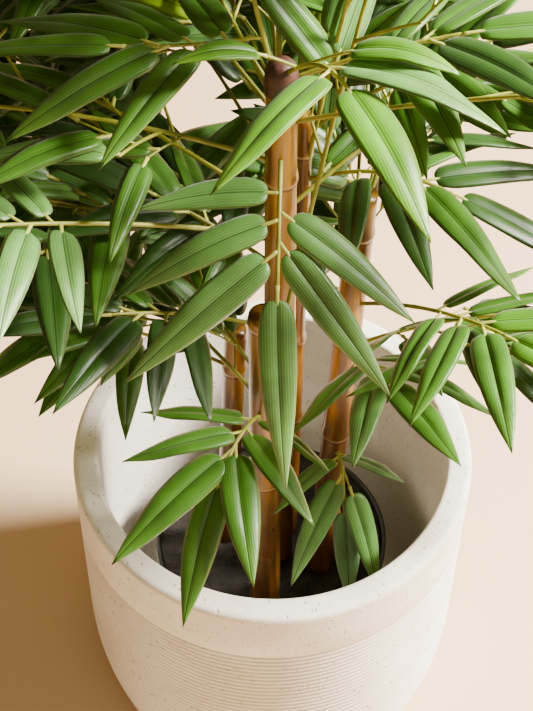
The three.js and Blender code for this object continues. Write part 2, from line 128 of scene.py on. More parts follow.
# Canes: where each foot stands and each top is, and the radius at both. drop is how far the nodes
# sit below an even spacing that ends at the top, as a share of it.
CANE_START = FILL_TOP + GAP
CANES = {
    "front": {"foot": (6, -14), "top": (2, -20, 668), "radii": (11.6, 9.4), "nodes": 3,
              "drop": 0.44, "cap": 20},
    "low": {"foot": (-3, -56), "top": (-5, -50, 486), "radii": (11.8, 10.6), "nodes": 2,
            "drop": 0.05, "cap": 0},
    "slim": {"foot": (14, 10), "top": (16, 20, 592), "radii": (6.4, 5.6), "nodes": 5,
             "drop": 0.35, "cap": 0},
    "right": {"foot": (40, -24), "top": (55, 12, 535), "radii": (10.6, 9.0), "nodes": 4,
              "drop": 0.35, "cap": 0},
    "back": {"foot": (-36, 2), "top": (-28, 22, 388), "radii": (8.6, 7.8), "nodes": 2,
             "drop": 0.35, "cap": 0},
}

# The skin of a cane: where its rings are, all along it and round each node. What swells, pinches,
# lightens or darkens a node is given as its size, its place above the node and its width.
CANE_SIDES = 48
CANE_STEP = 7
CANE_SUNK = 1.5
CANE_SEED = 31
NODE_STATIONS = (-7, -5, -3.6, -2.6, -1.8, -1, -0.4, 0, 0.5, 1, 1.6, 2.4, 3.4, 5, 7, 9)
NODE_SWELLING = (1.0, 2.5, 4.5)
NODE_PINCH = (-0.5, -0.9, 0.9)
NODE_PALE = (1.0, 1.2, 1.3)
NODE_DARK = (-1.1, -0.9, 0.9)

# How far a cane is out of round as a share of its radius, how often round it, and how fast it turns
UNROUND = [(0.012, 2, 0.02), (0.008, 3, -0.013)]

# The end of a cane: a share of its radius, millimetres more, and how far above its body
CANE_END_SIDES = 40
CAP_END = [(0.98, 0, -3), (1, 0.7, -1.5), (1, 1, 1), (1, 0.6, 6), (1, 0.1, 12), (1, -1.2, 16),
           (0.62, 0, 19), (0.25, 0, 19.9), (0, AXIS, 20)]
CUT_END = [(0.96, 0, -2), (0.99, 0, -0.6), (0.93, 0, 0), (0.7, 0, -0.8), (0.55, 0, -2.4), (0, AXIS, -3)]

# Varnished cane: its light and its dark tone, its lowest tone, which is painted shade low down under the
# leaves and in the planter, and the height that shares of it are of
CANE_TONES = ((178, 130, 32), (98, 58, 18), (60, 34, 10))
SCAR = (70, 38, 18)
PALE_BAND = (222, 184, 132)
DARK_BAND = (92, 44, 46)
CANE_TONE_HEIGHT = 512

# Cast stone of the planter
STONE = (238, 230, 217)
STONE_TONES = ((233, 225, 212), (247, 243, 234))
SPECK = (148, 136, 124)
BLOT = (160, 142, 124)
# Painted shade in the planter's grooves
GROOVE_SHADE = (158, 142, 124)

# Branch stems, twigs and leaves
STEM_RADIUS = 2.2
TWIG_RADIUS = 1.7
STEM_SUNK = 3
LENGTH_STEPS = 16
LEAF_LENGTH = 104
LEAF_WIDTH = 20.5
PAIR_PITCH = 19
PAIR_STAGGER = 5

# How a spray opens: the angle of its first pair, what each pair and each new try adds to it, how
# much shorter and narrower each pair is than the one before, and how far the tips drop
FAN = 36
FAN_STEP = 19
TRY_STEP = 6
PAIR_SHORTER = 0.11
PAIR_NARROWER = 0.07
DROOP = 0.22

# How far a leaf strays from its place: in degrees of opening and of roll, in its rise, size and
# droop. Front branches stray less. No leaf stands on the first part of a stem.
OPENING_STRAY = (-8, 8)
ROLL_STRAY = (-18, 18)
RISE_STRAY = (0, 0.16)
SIZE_STRAY = (-0.06, 0.06)
DROOP_STRAY = (0.6, 1.4)
FRONT_STRAY = 0.4
BARE_START = 0.06

# How far apart the parts of different branches stay, and how closely that is sampled: a blade from
# this share of its length on, with more points across it where it is wide
STEM_CLEAR = 7
LEAF_CLEAR = 9
OWN_CLEAR = 5.5
CANE_CLEAR = 3
POT_CLEAR = 4
CELL = 10
CELLS_A_SIDE = 4096
SAMPLE_STEP = 7
LEAF_STATIONS = 13
LEAF_TRIES = 4
SAMPLED_FROM = 0.14
NEAR_FOOT = 0.3
WIDE_HALF = 6
MEDIUM_HALF = 2.5

# The blade that the rule keeps clear: its foot, its widest place and the curve of its taper
RULE_FOOT = 0.09
SHOULDER = 0.3
RULE_TAPER = 1.8

# The finer sprays between the twigs, which the solids leave out
FINE_EVERY = 29
FINE_PHASE = 0.7
FINE_LAST = 0.97
FINE_TRIES = 9
FINE_RADIUS = 1.2
FINE_STEM_CLEAR = 3.5
FINE_LEAF_CLEAR = 4.5
FINE_ANGLE = (25, 75)
FINE_LIFT = (-0.5, 0.7)
FINE_LENGTH = (16, 52)
FINE_ARCH = (-4, 6)
FINE_SIZE = (0.7, 0.98)
FINE_FAN = (28, 44)
FINE_PITCH = 15
FINE_LEAVES = 4
FINE_FEWEST = 2
FINE_SEED = 4000
REACH_SLACK = 3

# The open front: heights as a value at y = 0 and a rise per millimetre of y
OPEN_HALF_WIDTH = 150
BEFORE_CANES = {"half_width": 60, "back": -38, "low": 480, "high": 672}
MOUTH_SLOPE = (299, -1.32)
WEDGE_FLOOR = (713, 0.833)
WEDGE_ROOF = (697, -0.773)

# Gaps in the crown along sight lines from standing eye height: how far each line turns to the right
# and how far it falls, both for each millimetre ahead
EYE = (14, -718, 1248)
SIGHT_GAPS = [
    {"turn": (0.117, 0.205), "fall": (0.92, 1.1)},
    {"turn": (0.085, 0.117), "fall": (0.99, 1.06)},
    {"turn": (-0.11, -0.074), "fall": (0.84, 0.9)},
    {"turn": (0.134, 0.2), "fall": (0.74, 0.8)},
]

# The crown: how high and how far out its branches end, widest at a share of its height
CROWN_LOW = 440
CROWN_HIGH = 965
CROWN_REACH = 235
CROWN_WIDEST = 0.3
CROWN_SPAN = 0.78
CROWN_BRANCHES = 36
HEIGHT_STRAY = (-20, 20)
REACH_STRAY = (0.75, 1.05)
BRANCH_TRIES = 120
FEWEST_LEAVES = 7
GOLDEN_ANGLE = 137.5
FIRST_ANGLE = 150
TRY_ANGLE = 31
PLAN_SEED = 300
BRANCH_SEED = 100

# Where a branch leaves its cane: how far below its end, its cane's top and the earlier tries
LOWEST_ROOT = 400
ROOT_BELOW_TOP = 8
ROOT_BELOW_END = (30, 90)
TRY_DROP = 9
TRY_DROPS = 6

# What a branch counts as distance to a cane: how far its height is off, what the cane has, and luck
HEIGHT_WEIGHT = 0.6
BRANCH_WEIGHT = 26
LUCK = (0, 90)
TOP_ROOT = 655
USUAL_ROOT_DROP = 60

# The twigs of a crown branch: one for each length of it, over part of its length
TWIG_EVERY = 72
TWIGS_FROM = 0.26
TWIGS_SPREAD = 0.58
FEWEST_TWIGS = 2
MOST_TWIGS = 5
TWIG_RANGES = {"angle": (42, 60), "lift": (-0.05, 0.3), "length": (80, 110), "arch": (2, 14)}
TWIG_LEAVES = 5
BRANCH_LEAVES = 6
BRANCH_ARCH = (10, 40)
HIGH_ARCH = 150
ENOUGH_A_TWIG = 5

# Branches that stand to the front. Each leaves its cane at height z and ends at a point, lifted
# by arch and swung by sway on the way. fan is the angle of its first pair of leaves.
FRONT_BRANCHES = [
    {"name": "centre", "cane": "front", "z": 600, "end": (3, -93, 562), "arch": 16, "leaves": 6,
     "seed": 3, "fan": 46, "first": 1, "skew": 6, "pitch": 17, "size": 0.98},
    {"name": "cap_left", "cane": "front", "z": 655, "end": (-60, 30, 860), "arch": 10, "leaves": 6,
     "seed": 2, "twigs": [{"at": 0.1, "end": (-85, -20, 675), "arch": -4, "leaves": 6, "first": 1,
                           "fan": 30}]},
    {"name": "cap_right", "cane": "front", "z": 664, "end": (34, -66, 694), "arch": 14, "sway": -4,
     "leaves": 3, "fan": 50, "skew": 10, "first": 1, "droop": 0.35, "pitch": 14, "size": 1.02,
     "seed": 11,
     "twigs": [{"at": 0.3, "end": (34, -42, 692), "arch": 1, "leaves": 1, "droop": 0.5, "size": 0.8},
               {"at": 0.15, "end": (-6, -36, 684), "arch": 1, "leaves": 1, "droop": 0.5, "size": 0.62}]},
    {"name": "cap_far", "cane": "front", "z": 655, "end": (100, -20, 690), "arch": 6, "leaves": 5,
     "first": 1, "size": 1.05, "seed": 14},
    {"name": "left", "cane": "front", "z": 530, "end": (-170, -110, 620), "arch": 12, "leaves": 7,
     "seed": 4},
    {"name": "left_low", "cane": "front", "z": 440, "end": (-100, -70, 505), "arch": 14,
     "leaves": 7, "seed": 5},
    {"name": "pot_left", "cane": "low", "z": 395, "end": (-30, -120, 410), "arch": 22, "leaves": 7,
     "seed": 6, "first": 1, "fan": 26, "size": 0.94},
    {"name": "pot_right", "cane": "right", "z": 298, "end": (54, -54, 284), "arch": 36,
     "leaves": 5, "seed": 7, "fan": 28, "skew": 8, "first": 1, "droop": 0.3, "size": 0.74,
     "twigs": [{"at": 0.5, "end": (57, -46, 296), "arch": 1, "leaves": 1, "first": 1,
                "size": 0.74}]},
    {"name": "right", "cane": "right", "z": 445, "end": (140, -85, 515), "arch": 18, "leaves": 7,
     "seed": 8},
    {"name": "right_low", "cane": "right", "z": 400, "end": (75, -65, 445), "arch": 10,
     "leaves": 6, "seed": 9, "fan": 30},
    {"name": "right_high", "cane": "slim", "z": 580, "end": (115, 20, 650), "arch": 10,
     "leaves": 7, "seed": 10},
    {"name": "left_back", "cane": "back", "z": 352, "end": (-145, 0, 420), "arch": 16,
     "leaves": 7, "seed": 12},
    {"name": "right_back", "cane": "slim", "z": 540, "end": (105, -15, 565), "arch": 24,
     "leaves": 7, "seed": 13},
    {"name": "left_mid", "cane": "front", "z": 500, "end": (-75, -5, 545), "arch": 6, "leaves": 7,
     "seed": 31, "droop": 0.35},
]

# Stems as they are drawn: how they are spaced, tapered and knobbed, and how a tip closes as how far
# past the end and what share of the radius there
STEM_SLIMMER = 0.68
STEM_TAPER = 0.28
STEM_STEP = 5
STEM_FEWEST_STEPS = 6
STEM_SIDES = 8
STEM_PAST_LEAF = 0.01
STEM_KNOB = 0.16
STEM_KNOB_SHARPNESS = 6
STEM_TIP = [(0.8, 0.75), (1.3, 0.3)]

# Blades as they are drawn: rings and columns, foot and thickness, and how much broader than the rule's
STATIONS_FRONT = 20
STATIONS_CROWN = 13
FOOT_STATIONS = (0.0, 0.004, 0.014, 0.035, 0.07, 0.12)
STATION_CROWDING = 0.97
COLUMNS_FRONT = 13
COLUMNS_CROWN = 7
COLUMN_CROWDING = 1.25
BLADE_START = 0.085
BLADE_THICK = 0.42
BLADE_SQUARENESS = 3.2
BLADE_TAPER = 1.95
BLADE_FOOT_HALF = 1.0
BLADE_TIP_HALF = 0.2
WIDER = 1.12
WIDEST = 1.34
BROAD_SPRAYS = ("foliage_cap_right", "foliage_pot_left", "foliage_pot_right")

# How each leaf differs: its sickle bend, the depth of its crease, its ripple and its twist
SICKLE = (-0.075, 0.075)
CREASE = (0.8, 1.25)
RIPPLE = (0.2, 0.8)
TWIST = (-0.16, 0.16)

# A blade's section rises from the crease and falls to its edges. The crease fades to the tip and to
# the foot: from this place, over this span and down to this share.
CREASE_RISE = 0.27
CREASE_WIDTH = 0.3
EDGE_FALL = 0.27
EDGE_POWER = 2.2
FADE_TO_TIP = (0.88, 0.3, 0.3)
FADE_TO_FOOT = (0.07, 0.05, 0.25)
RIPPLE_HALF = 8
RIPPLE_RATE = 10
RIPPLE_POWER = 1.5

# A petiole: places along the leaf, how far under the blade each one is, and the radius there
PETIOLE = [(0, 0, 1.6), (0.03, 0, 1.3), (0.06, 0, 1.15), (0.09, 0.1, 1.25), (0.115, 0.6, 1.1),
           (0.15, 1, 0.4)]
PETIOLE_SIDES = 6
PETIOLE_FLATNESS = 0.7

# How far apart the veins of a leaf are
VEIN_PITCH = 1.6

# A leaf's colours: its face, its veins and a painted sheen toward its tip, its painted rim light, and
# its underside
TONES = {
    "deep": ((32, 64, 14), (76, 112, 42), (124, 138, 68), (72, 104, 50)),
    "mid": ((54, 98, 20), (112, 154, 58), (152, 166, 84), (96, 134, 64)),
    "fresh": ((74, 120, 52), (156, 188, 112), (180, 190, 122), (118, 152, 94)),
    # A lit copy of a green: painted glow of backlight through the leaf
    "bright": ((64, 116, 10), (140, 182, 56), (182, 192, 96), (118, 154, 60)),
    "pale": ((92, 136, 88), (160, 188, 142), (190, 198, 150), (150, 178, 138)),
    "sunlit": ((122, 156, 16), (160, 184, 50), (188, 190, 90), (146, 166, 60)),
}

# The colours of each front branch: most of its leaves, and this share of them
SECOND_TONE_SHARE = 0.35
SPRAY_TONES = {
    "foliage_centre": ("fresh", "fresh"),
    "foliage_cap_left": ("mid", "mid"),
    "foliage_cap_right": ("bright", "fresh"),
    "foliage_cap_far": ("mid", "deep"),
    "foliage_left": ("mid", "fresh"),
    "foliage_left_low": ("deep", "mid"),
    "foliage_left_mid": ("deep", "mid"),
    "foliage_pot_left": ("mid", "sunlit"),
    "foliage_pot_right": ("pale", "fresh"),
    "foliage_right": ("mid", "bright"),
    "foliage_right_low": ("fresh", "mid"),
    "foliage_right_high": ("mid", "deep"),
    "foliage_left_back": ("mid", "sunlit"),
    "foliage_right_back": ("deep", "mid"),
}

# The colours of the crown, leaning to the first of them. A branch that ends under LOW_CROWN is in
# the low pieces.
CROWN_TONES = ("deep", "deep", "mid", "mid", "mid", "fresh", "fresh", "sunlit")
TONE_LEAN = (0.55, 1)
LOW_CROWN = 700
LEAF_SEED = 900

# Plain mottled materials: the colour, roughness, noise scale and detail, where the noise goes from
# one tone to the other, both tones, and a relief of scale, detail, depth in metres and strength
MOTTLED = {
    "stem_plastic": ((136, 144, 42), 0.42, (60, 3), (0.35, 0.7), ((120, 128, 30), (154, 156, 56)),
                     (300, 3, 0.0002, 0.5)),
    "petiole_plastic": ((176, 184, 84), 0.4, (120, 3), None, ((156, 166, 62), (190, 194, 100)),
                        (500, 2, 0.00015, 0.5)),
    "cap_plastic": ((62, 32, 22), 0.55, (90, 4), (0.35, 0.65), ((42, 19, 11), (80, 46, 34)),
                    (240, 4, 0.0006, 0.8)),
    "cane_cut": ((72, 42, 24), 0.7, (500, 3), None, ((46, 25, 12), (100, 62, 36)),
                 (900, 3, 0.0004, 0.8)),
    "grow_pot_plastic": ((24, 23, 22), 0.5, (40, 4), None, ((16, 15, 14), (38, 36, 34)),
                         (700, 2, 0.0002, 0.5)),
    "fill_dark": ((20, 18, 16), 0.8, (70, 5), (0.35, 0.7), ((9, 8, 7), (42, 36, 30)),
                  (260, 5, 0.003, 0.8)),
    "floor_plain": ((216, 186, 148), 0.65, (2.5, 3), None, ((212, 181, 142), (221, 192, 156)), None),
}


# Small helpers
def seeded(seed):
    """A repeatable stream of numbers between two ends."""
    state = (seed * 2654435761 + 12345) & 0xFFFFFFFF

    def draw(low=0.0, high=1.0):
        nonlocal state
        state = (state * 1664525 + 1013904223) & 0xFFFFFFFF
        return low + (high - low) * state / 4294967296

    draw()
    draw()
    return draw


def either(draw):
    return 1 if draw() < 0.5 else -1


def unit(v):
    return v / math.sqrt(v @ v)


def cross(a, b):
    return np.array([a[1] * b[2] - a[2] * b[1], a[2] * b[0] - a[0] * b[2], a[0] * b[1] - a[1] * b[0]])


def cane_at(name, z):
    """The centre and radius of a cane at height z, or at each of many heights."""
    cane = CANES[name]
    foot, top, radii = cane["foot"], cane["top"], cane["radii"]
    t = (z - FILL_TOP) / (top[2] - FILL_TOP)
    centre = np.array([foot[0] + (top[0] - foot[0]) * t, foot[1] + (top[1] - foot[1]) * t, z]).T
    return centre, radii[0] + (radii[1] - radii[0]) * t


# Curves: each stem or twig is a bend through a start, a pull and an end
def point_on(line, t):
    a, b, c = line
    return a * (1 - t) ** 2 + b * (2 * t * (1 - t)) + c * t ** 2


def points_on(line, ts):
    a, b, c = line
    ts = np.asarray(ts)[:, None]
    return a * (1 - ts) ** 2 + b * (2 * ts * (1 - ts)) + c * ts ** 2


def direction_on(line, t):
    a, b, c = line
    return unit(a * (t - 1) + b * (1 - 2 * t) + c * t)


def length_of(line):
    steps = np.diff(points_on(line, np.linspace(0, 1, LENGTH_STEPS + 1)), axis=0)
    return float(np.sqrt((steps ** 2).sum(1)).sum())


def bend_between(a, c, arch, sway):
    out = unit(np.array([c[0] - a[0], c[1] - a[1], 0.0]))
    side = unit(cross(out, UP))
    return (a, (a + c) * 0.5 + UP * arch + side * sway, c), side


def cell_code(u, v, w):
    return (u * CELLS_A_SIDE + v) * CELLS_A_SIDE + w


NEIGHBOURS = [cell_code(*step) for step in itertools.product((-1, 0, 1), repeat=3)]


class Space:
    """Points already used, each kept in the 27 cells round it so that near ones are found at once."""

    def __init__(self):
        self.near = {}

    @staticmethod
    def codes(points):
        cells = np.floor(points / CELL).astype(np.int64) + CELLS_A_SIDE // 2
        return cell_code(*cells.T).tolist()

    def add(self, points):
        for code, point in zip(self.codes(points), points.tolist()):
            for step in NEIGHBOURS:
                self.near.setdefault(code + step, []).append(point)

    def is_free(self, points, clear):
        limit = clear * clear
        for code, (x, y, z) in zip(self.codes(points), points.tolist()):
            for u, v, w in self.near.get(code, ()):
                if (x - u) ** 2 + (y - v) ** 2 + (z - w) ** 2 < limit:
                    return False
        return True


def in_sight_gap(points):
    ahead = points[:, 1] - EYE[1]
    turn = (points[:, 0] - EYE[0]) / ahead
    fall = (EYE[2] - points[:, 2]) / ahead
    inside = np.zeros(len(points), dtype=bool)
    for gap in SIGHT_GAPS:
        inside |= ((turn > gap["turn"][0]) & (turn < gap["turn"][1])
                   & (fall > gap["fall"][0]) & (fall < gap["fall"][1]))
    return bool(inside.any())


def in_open_front(points, is_stem):
    if in_sight_gap(points):
        return True
    x, y, z = points.T
    box = BEFORE_CANES
    before = (abs(x) < box["half_width"]) & (y < box["back"]) & (z > box["low"]) & (z < box["high"])
    wedge = (z > WEDGE_FLOOR[0] + WEDGE_FLOOR[1] * y) & (z < WEDGE_ROOF[0] + WEDGE_ROOF[1] * y)
    mouth = z < MOUTH_SLOPE[0] + MOUTH_SLOPE[1] * y
    inside = before | mouth if is_stem else before | wedge | mouth
    return bool((inside & (abs(x) <= OPEN_HALF_WIDTH)).any())


def clear_of_pot(points):
    x, y, z = points.T
    radius = np.hypot(x, y)
    in_fill = (z < FILL_TOP + POT_CLEAR) & (radius < RIM_RADIUS + POT_CLEAR)
    off_wall = abs(radius - (RIM_RADIUS - WALL / 2)) > WALL / 2 + POT_CLEAR
    return bool((~in_fill & ((z > RIM_HEIGHT + POT_CLEAR) | off_wall)).all())


def clear_of_canes(points, own):
    for name, cane in CANES.items():
        if name == own:
            continue
        centres, radii = cane_at(name, np.clip(points[:, 2], FILL_TOP, cane["top"][2]))
        if (np.sqrt(((points - centres) ** 2).sum(axis=1)) <= radii + CANE_CLEAR).any():
            return False
    return True


def stem_samples(line):
    count = max(2, math.floor(length_of(line) / SAMPLE_STEP))
    return points_on(line, np.arange(count + 1) / count)


# Leaves
def blade_share(s):
    """Share of the full half width at s, from the leaf's foot to its tip."""
    u = (s - RULE_FOOT) / (1 - RULE_FOOT)
    if u <= 0:
        return 0.0
    if u < SHOULDER:
        return math.sqrt(1 - (1 - u / SHOULDER) ** 2)
    return max(0.0, 1 - ((u - SHOULDER) / (1 - SHOULDER)) ** RULE_TAPER)


def leaf_points(leaf, s):
    s = np.asarray(s)[:, None]
    drop = leaf["droop"] * s * s * leaf["length"]
    return leaf["root"] + leaf["direction"] * (s * leaf["length"]) - UP * drop


SAMPLE_S = [SAMPLED_FROM + (1 - SAMPLED_FROM) * i / (LEAF_STATIONS - 1) for i in range(LEAF_STATIONS)]
SAMPLE_SHARE = [blade_share(s) for s in SAMPLE_S]


def leaf_samples(leaf):
    """Points over a blade, and how many of them are near its foot."""
    s_list, offsets, near_foot = [], [], 0
    for s, share in zip(SAMPLE_S, SAMPLE_SHARE):
        half = leaf["width"] / 2 * share
        across = (0,)
        if half > MEDIUM_HALF:
            across = (-1, -0.5, 0, 0.5, 1) if half > WIDE_HALF else (-1, 0, 1)
        for value in across:
            s_list.append(s)
            offsets.append(half * value)
        if s < NEAR_FOOT:
            near_foot += len(across)
    return leaf_points(leaf, s_list) + leaf["side"] * np.array(offsets)[:, None], near_foot


def leaf_of(line, length, side, spray, k, flip, wild, attempt, draw):
    """One leaf of a spray: the k-th from the tip, in pairs that stand a little apart."""
    pair = (k + 1) // 2
    back = pair * spray.get("pitch", PAIR_PITCH) + (PAIR_STAGGER if k > 0 and k % 2 == 0 else 0)
    t = 1 - back / length
    if t < BARE_START:
        return None
    along = direction_on(line, t)
    across = unit(side - along * (side @ along))
    normal = cross(across, along)
    if normal[2] < 0:
        normal = -normal
    hand = 1 if k == 0 else flip * (1 if k % 2 else -1)
    if k == 0:
        opening = draw(*OPENING_STRAY) * wild
    else:
        opening = (spray.get("fan", FAN) + FAN_STEP * (pair - 1) + hand * spray.get("skew", 0)
                   + draw(*OPENING_STRAY) * wild + attempt * TRY_STEP)
    turn = math.radians(opening)
    direction = unit(along * math.cos(turn) + across * (hand * math.sin(turn))
                     + normal * (draw(*RISE_STRAY) * wild))
    flat = unit(cross(direction, normal))
    roll = math.radians(draw(*ROLL_STRAY) * wild)
    size = spray.get("size", 1) * (1 + draw(*SIZE_STRAY))
    return {
        "at": t,
        "root": point_on(line, t),
        "direction": direction,
        "side": flat * math.cos(roll) + cross(direction, flat) * math.sin(roll),
        "length": LEAF_LENGTH * size * (1 - PAIR_SHORTER * max(0, pair - 1)),
        "width": LEAF_WIDTH * size * (1 - PAIR_NARROWER * max(0, pair - 1)),
        "droop": spray.get("droop", DROOP) * draw(*DROOP_STRAY),
    }


class Branch:
    """One branch: its stem, its twigs and their leaves, less whatever would touch something else."""

    def __init__(self, spec, taken):
        self.spec = spec
        self.taken = taken
        self.ruled = spec.get("ruled", False)
        self.own = Space()
        self.samples = []
        self.stems = []
        self.leaves = []
        self.draw = seeded(spec["seed"])

    def fits(self, points, cane, clear):
        return (clear_of_pot(points) and clear_of_canes(points, cane)
                and not (self.ruled and in_open_front(points, cane is not None))
                and self.taken.is_free(points, clear))

    def add_stem(self, line, side, radius, spray):
        self.samples.append(stem_samples(line))
        self.stems.append({"line": line, "side": side, "radius": radius, "spray": spray,
                           "at": spray.get("at", 0), "used": 0.0})

    def grow(self):
        spec = self.spec
        centre, radius = cane_at(spec["cane"], spec["z"])
        end = np.array(spec["end"], dtype=float)
        out = unit(np.array([end[0] - centre[0], end[1] - centre[1], 0.0]))
        start = centre + out * (radius - STEM_SUNK)
        line, side = bend_between(start, end, spec["arch"], spec.get("sway", 0))
        if not self.fits(stem_samples(line), spec["cane"], STEM_CLEAR):
            return self
        self.add_stem(line, side, STEM_RADIUS, spec)
        for twig in spec.get("twigs", ()):
            self.grow_twig(line, side, twig)
        for stem in self.stems:
            self.grow_leaves(stem)
        return self

    def grow_twig(self, line, side, twig):
        start = point_on(line, twig["at"])
        if "end" in twig:
            to = np.array(twig["end"], dtype=float)
        else:
            turn = math.radians(twig["angle"])
            heading = unit(direction_on(line, twig["at"]) * math.cos(turn)
                           + side * (twig["hand"] * math.sin(turn)) + UP * twig["lift"])
            to = start + heading * twig["length"]
        bent, twig_side = bend_between(start, to, twig["arch"], 0)
        if self.fits(stem_samples(bent), self.spec["cane"], STEM_CLEAR):
            self.add_stem(bent, twig_side, TWIG_RADIUS, twig)

    def grow_leaves(self, stem):
        line, side, spray = stem["line"], stem["side"], stem["spray"]
        flip = spray["first"] if "first" in spray else either(self.draw)
        wild = 1 if self.ruled else FRONT_STRAY
        length = length_of(line)
        for k in range(spray["leaves"]):
            for attempt in range(LEAF_TRIES):
                leaf = leaf_of(line, length, side, spray, k, flip, wild, attempt, self.draw)
                if leaf is None:
                    break
                points, near_foot = leaf_samples(leaf)
                free = points[near_foot:]
                if self.fits(points, None, LEAF_CLEAR) and self.own.is_free(free, OWN_CLEAR):
                    stem["used"] = max(stem["used"], leaf["at"])
                    self.own.add(free)
                    self.samples.append(points)
                    self.leaves.append(leaf)
                    break


def crown_plan(index, attempt, used, draw):
    """A branch of the rest of the crown: turned round it by the golden angle, from low to high."""
    share = (index + 0.5) / CROWN_BRANCHES
    azimuth = math.radians(FIRST_ANGLE + GOLDEN_ANGLE * index + TRY_ANGLE * attempt)
    z = CROWN_LOW + (CROWN_HIGH - CROWN_LOW) * share + draw(*HEIGHT_STRAY)
    widest = math.sqrt(max(0, 1 - ((share - CROWN_WIDEST) / CROWN_SPAN) ** 2))
    reach = CROWN_REACH * widest * draw(*REACH_STRAY)
    end = (reach * math.cos(azimuth), reach * math.sin(azimuth), z)
    cane = None
    nearest = math.inf
    for name in CANES:
        top = CANES[name]["top"]
        if top[2] < LOWEST_ROOT:
            continue
        off = abs(min(z - USUAL_ROOT_DROP, TOP_ROOT) - top[2])
        far = (math.hypot(end[0] - top[0], end[1] - top[1]) + HEIGHT_WEIGHT * off
               + BRANCH_WEIGHT * used[name] + draw(*LUCK))
        if far < nearest:
            nearest = far
            cane = name
    highest = min(CANES[cane]["top"][2] - ROOT_BELOW_TOP, z - draw(*ROOT_BELOW_END))
    root_z = max(LOWEST_ROOT, highest - TRY_DROP * (attempt % TRY_DROPS))
    away = np.array(end) - cane_at(cane, root_z)[0]
    count = max(FEWEST_TWIGS, min(MOST_TWIGS, math.floor(math.sqrt(away @ away) / TWIG_EVERY)))
    hand = either(draw)
    twigs = []
    for i in range(count):
        twig = {name: draw(*ends) for name, ends in TWIG_RANGES.items()}
        at = TWIGS_FROM + TWIGS_SPREAD * i / (count - 1)
        twigs.append({**twig, "at": at, "hand": hand, "leaves": TWIG_LEAVES})
        hand = -hand
    arch = draw(*BRANCH_ARCH) + HIGH_ARCH * max(0, share - 0.5)
    return {"cane": cane, "z": root_z, "end": end, "arch": arch, "leaves": BRANCH_LEAVES,
            "seed": BRANCH_SEED + index, "twigs": twigs, "ruled": True}


def grow_plant():
    """Every branch by the name of its node, as the solids have them."""
    taken = Space()
    branches = {}
    for spec in FRONT_BRANCHES:
        branch = Branch(spec, taken).grow()
        taken.add(np.concatenate(branch.samples))
        branches[f"foliage_{spec['name']}"] = branch
    used = dict.fromkeys(CANES, 0)
    for index in range(CROWN_BRANCHES):
        draw = seeded(PLAN_SEED + index)
        best = None
        for attempt in range(BRANCH_TRIES):
            spec = crown_plan(index, attempt, used, draw)
            branch = Branch(spec, taken).grow()
            if best is None or len(branch.leaves) > len(best.leaves):
                best = branch
            if len(branch.leaves) > ENOUGH_A_TWIG * len(spec["twigs"]):
                break
        if len(best.leaves) < FEWEST_LEAVES:
            continue
        used[best.spec["cane"]] += 1
        taken.add(np.concatenate(best.samples))
        branches[f"foliage_{index + 1:02d}"] = best
    return branches, taken


def has_room(points, free, box, taken, is_stem, clear):
    """Whether points stay within a branch's reach, and the free ones of them off all other branches."""
    within = ((points > box[0] - REACH_SLACK) & (points < box[1] + REACH_SLACK)).all()
    return (bool(within) and clear_of_pot(points) and clear_of_canes(points, None)
            and not in_open_front(points, is_stem) and taken.is_free(free, clear))


def grow_finer(branch, taken):
    """Short sprays between the twigs of a crown branch, no farther out than the branch itself."""
    draw = seeded(branch.spec["seed"] + FINE_SEED)
    reach = np.concatenate(branch.samples)
    box = (reach.min(axis=0), reach.max(axis=0))
    for stem in list(branch.stems):
        count = int(length_of(stem["line"]) / FINE_EVERY)
        hand = either(draw)
        for i in range(count):
            hand = -hand
            at = (i + FINE_PHASE) / count
            if grow_fine_spray(branch, taken, box, stem, at, hand, draw):
                stem["used"] = max(stem["used"], min(at, FINE_LAST))


def grow_fine_spray(branch, taken, box, stem, at, hand, draw):
    """One short spray, tried a few ways; True if it found room."""
    line, side = stem["line"], stem["side"]
    start = point_on(line, min(at, FINE_LAST))
    for _ in range(FINE_TRIES):
        turn = math.radians(draw(*FINE_ANGLE))
        heading = unit(direction_on(line, at) * math.cos(turn) + side * (hand * math.sin(turn))
                       + UP * draw(*FINE_LIFT))
        bent, twig_side = bend_between(start, start + heading * draw(*FINE_LENGTH), draw(*FINE_ARCH), 0)
        points = stem_samples(bent)[1:]
        if not has_room(points, points[1:], box, taken, True, FINE_STEM_CLEAR):
            continue
        spray = {"size": draw(*FINE_SIZE), "fan": draw(*FINE_FAN), "pitch": FINE_PITCH}
        flip = either(draw)
        length = length_of(bent)
        leaves = []
        for k in range(FINE_LEAVES):
            leaf = leaf_of(bent, length, twig_side, spray, k, flip, 1, 0, draw)
            if leaf is None:
                break
            points, near_foot = leaf_samples(leaf)
            if has_room(points, points[near_foot:], box, taken, False, FINE_LEAF_CLEAR):
                leaves.append((leaf, points))
        if len(leaves) >= FINE_FEWEST:
            used = max(leaf["at"] for leaf, _ in leaves)
            branch.stems.append({"line": bent, "radius": FINE_RADIUS, "at": 0, "used": used})
            for leaf, points in leaves:
                branch.leaves.append(leaf)
                taken.add(points)
            return True
    return False


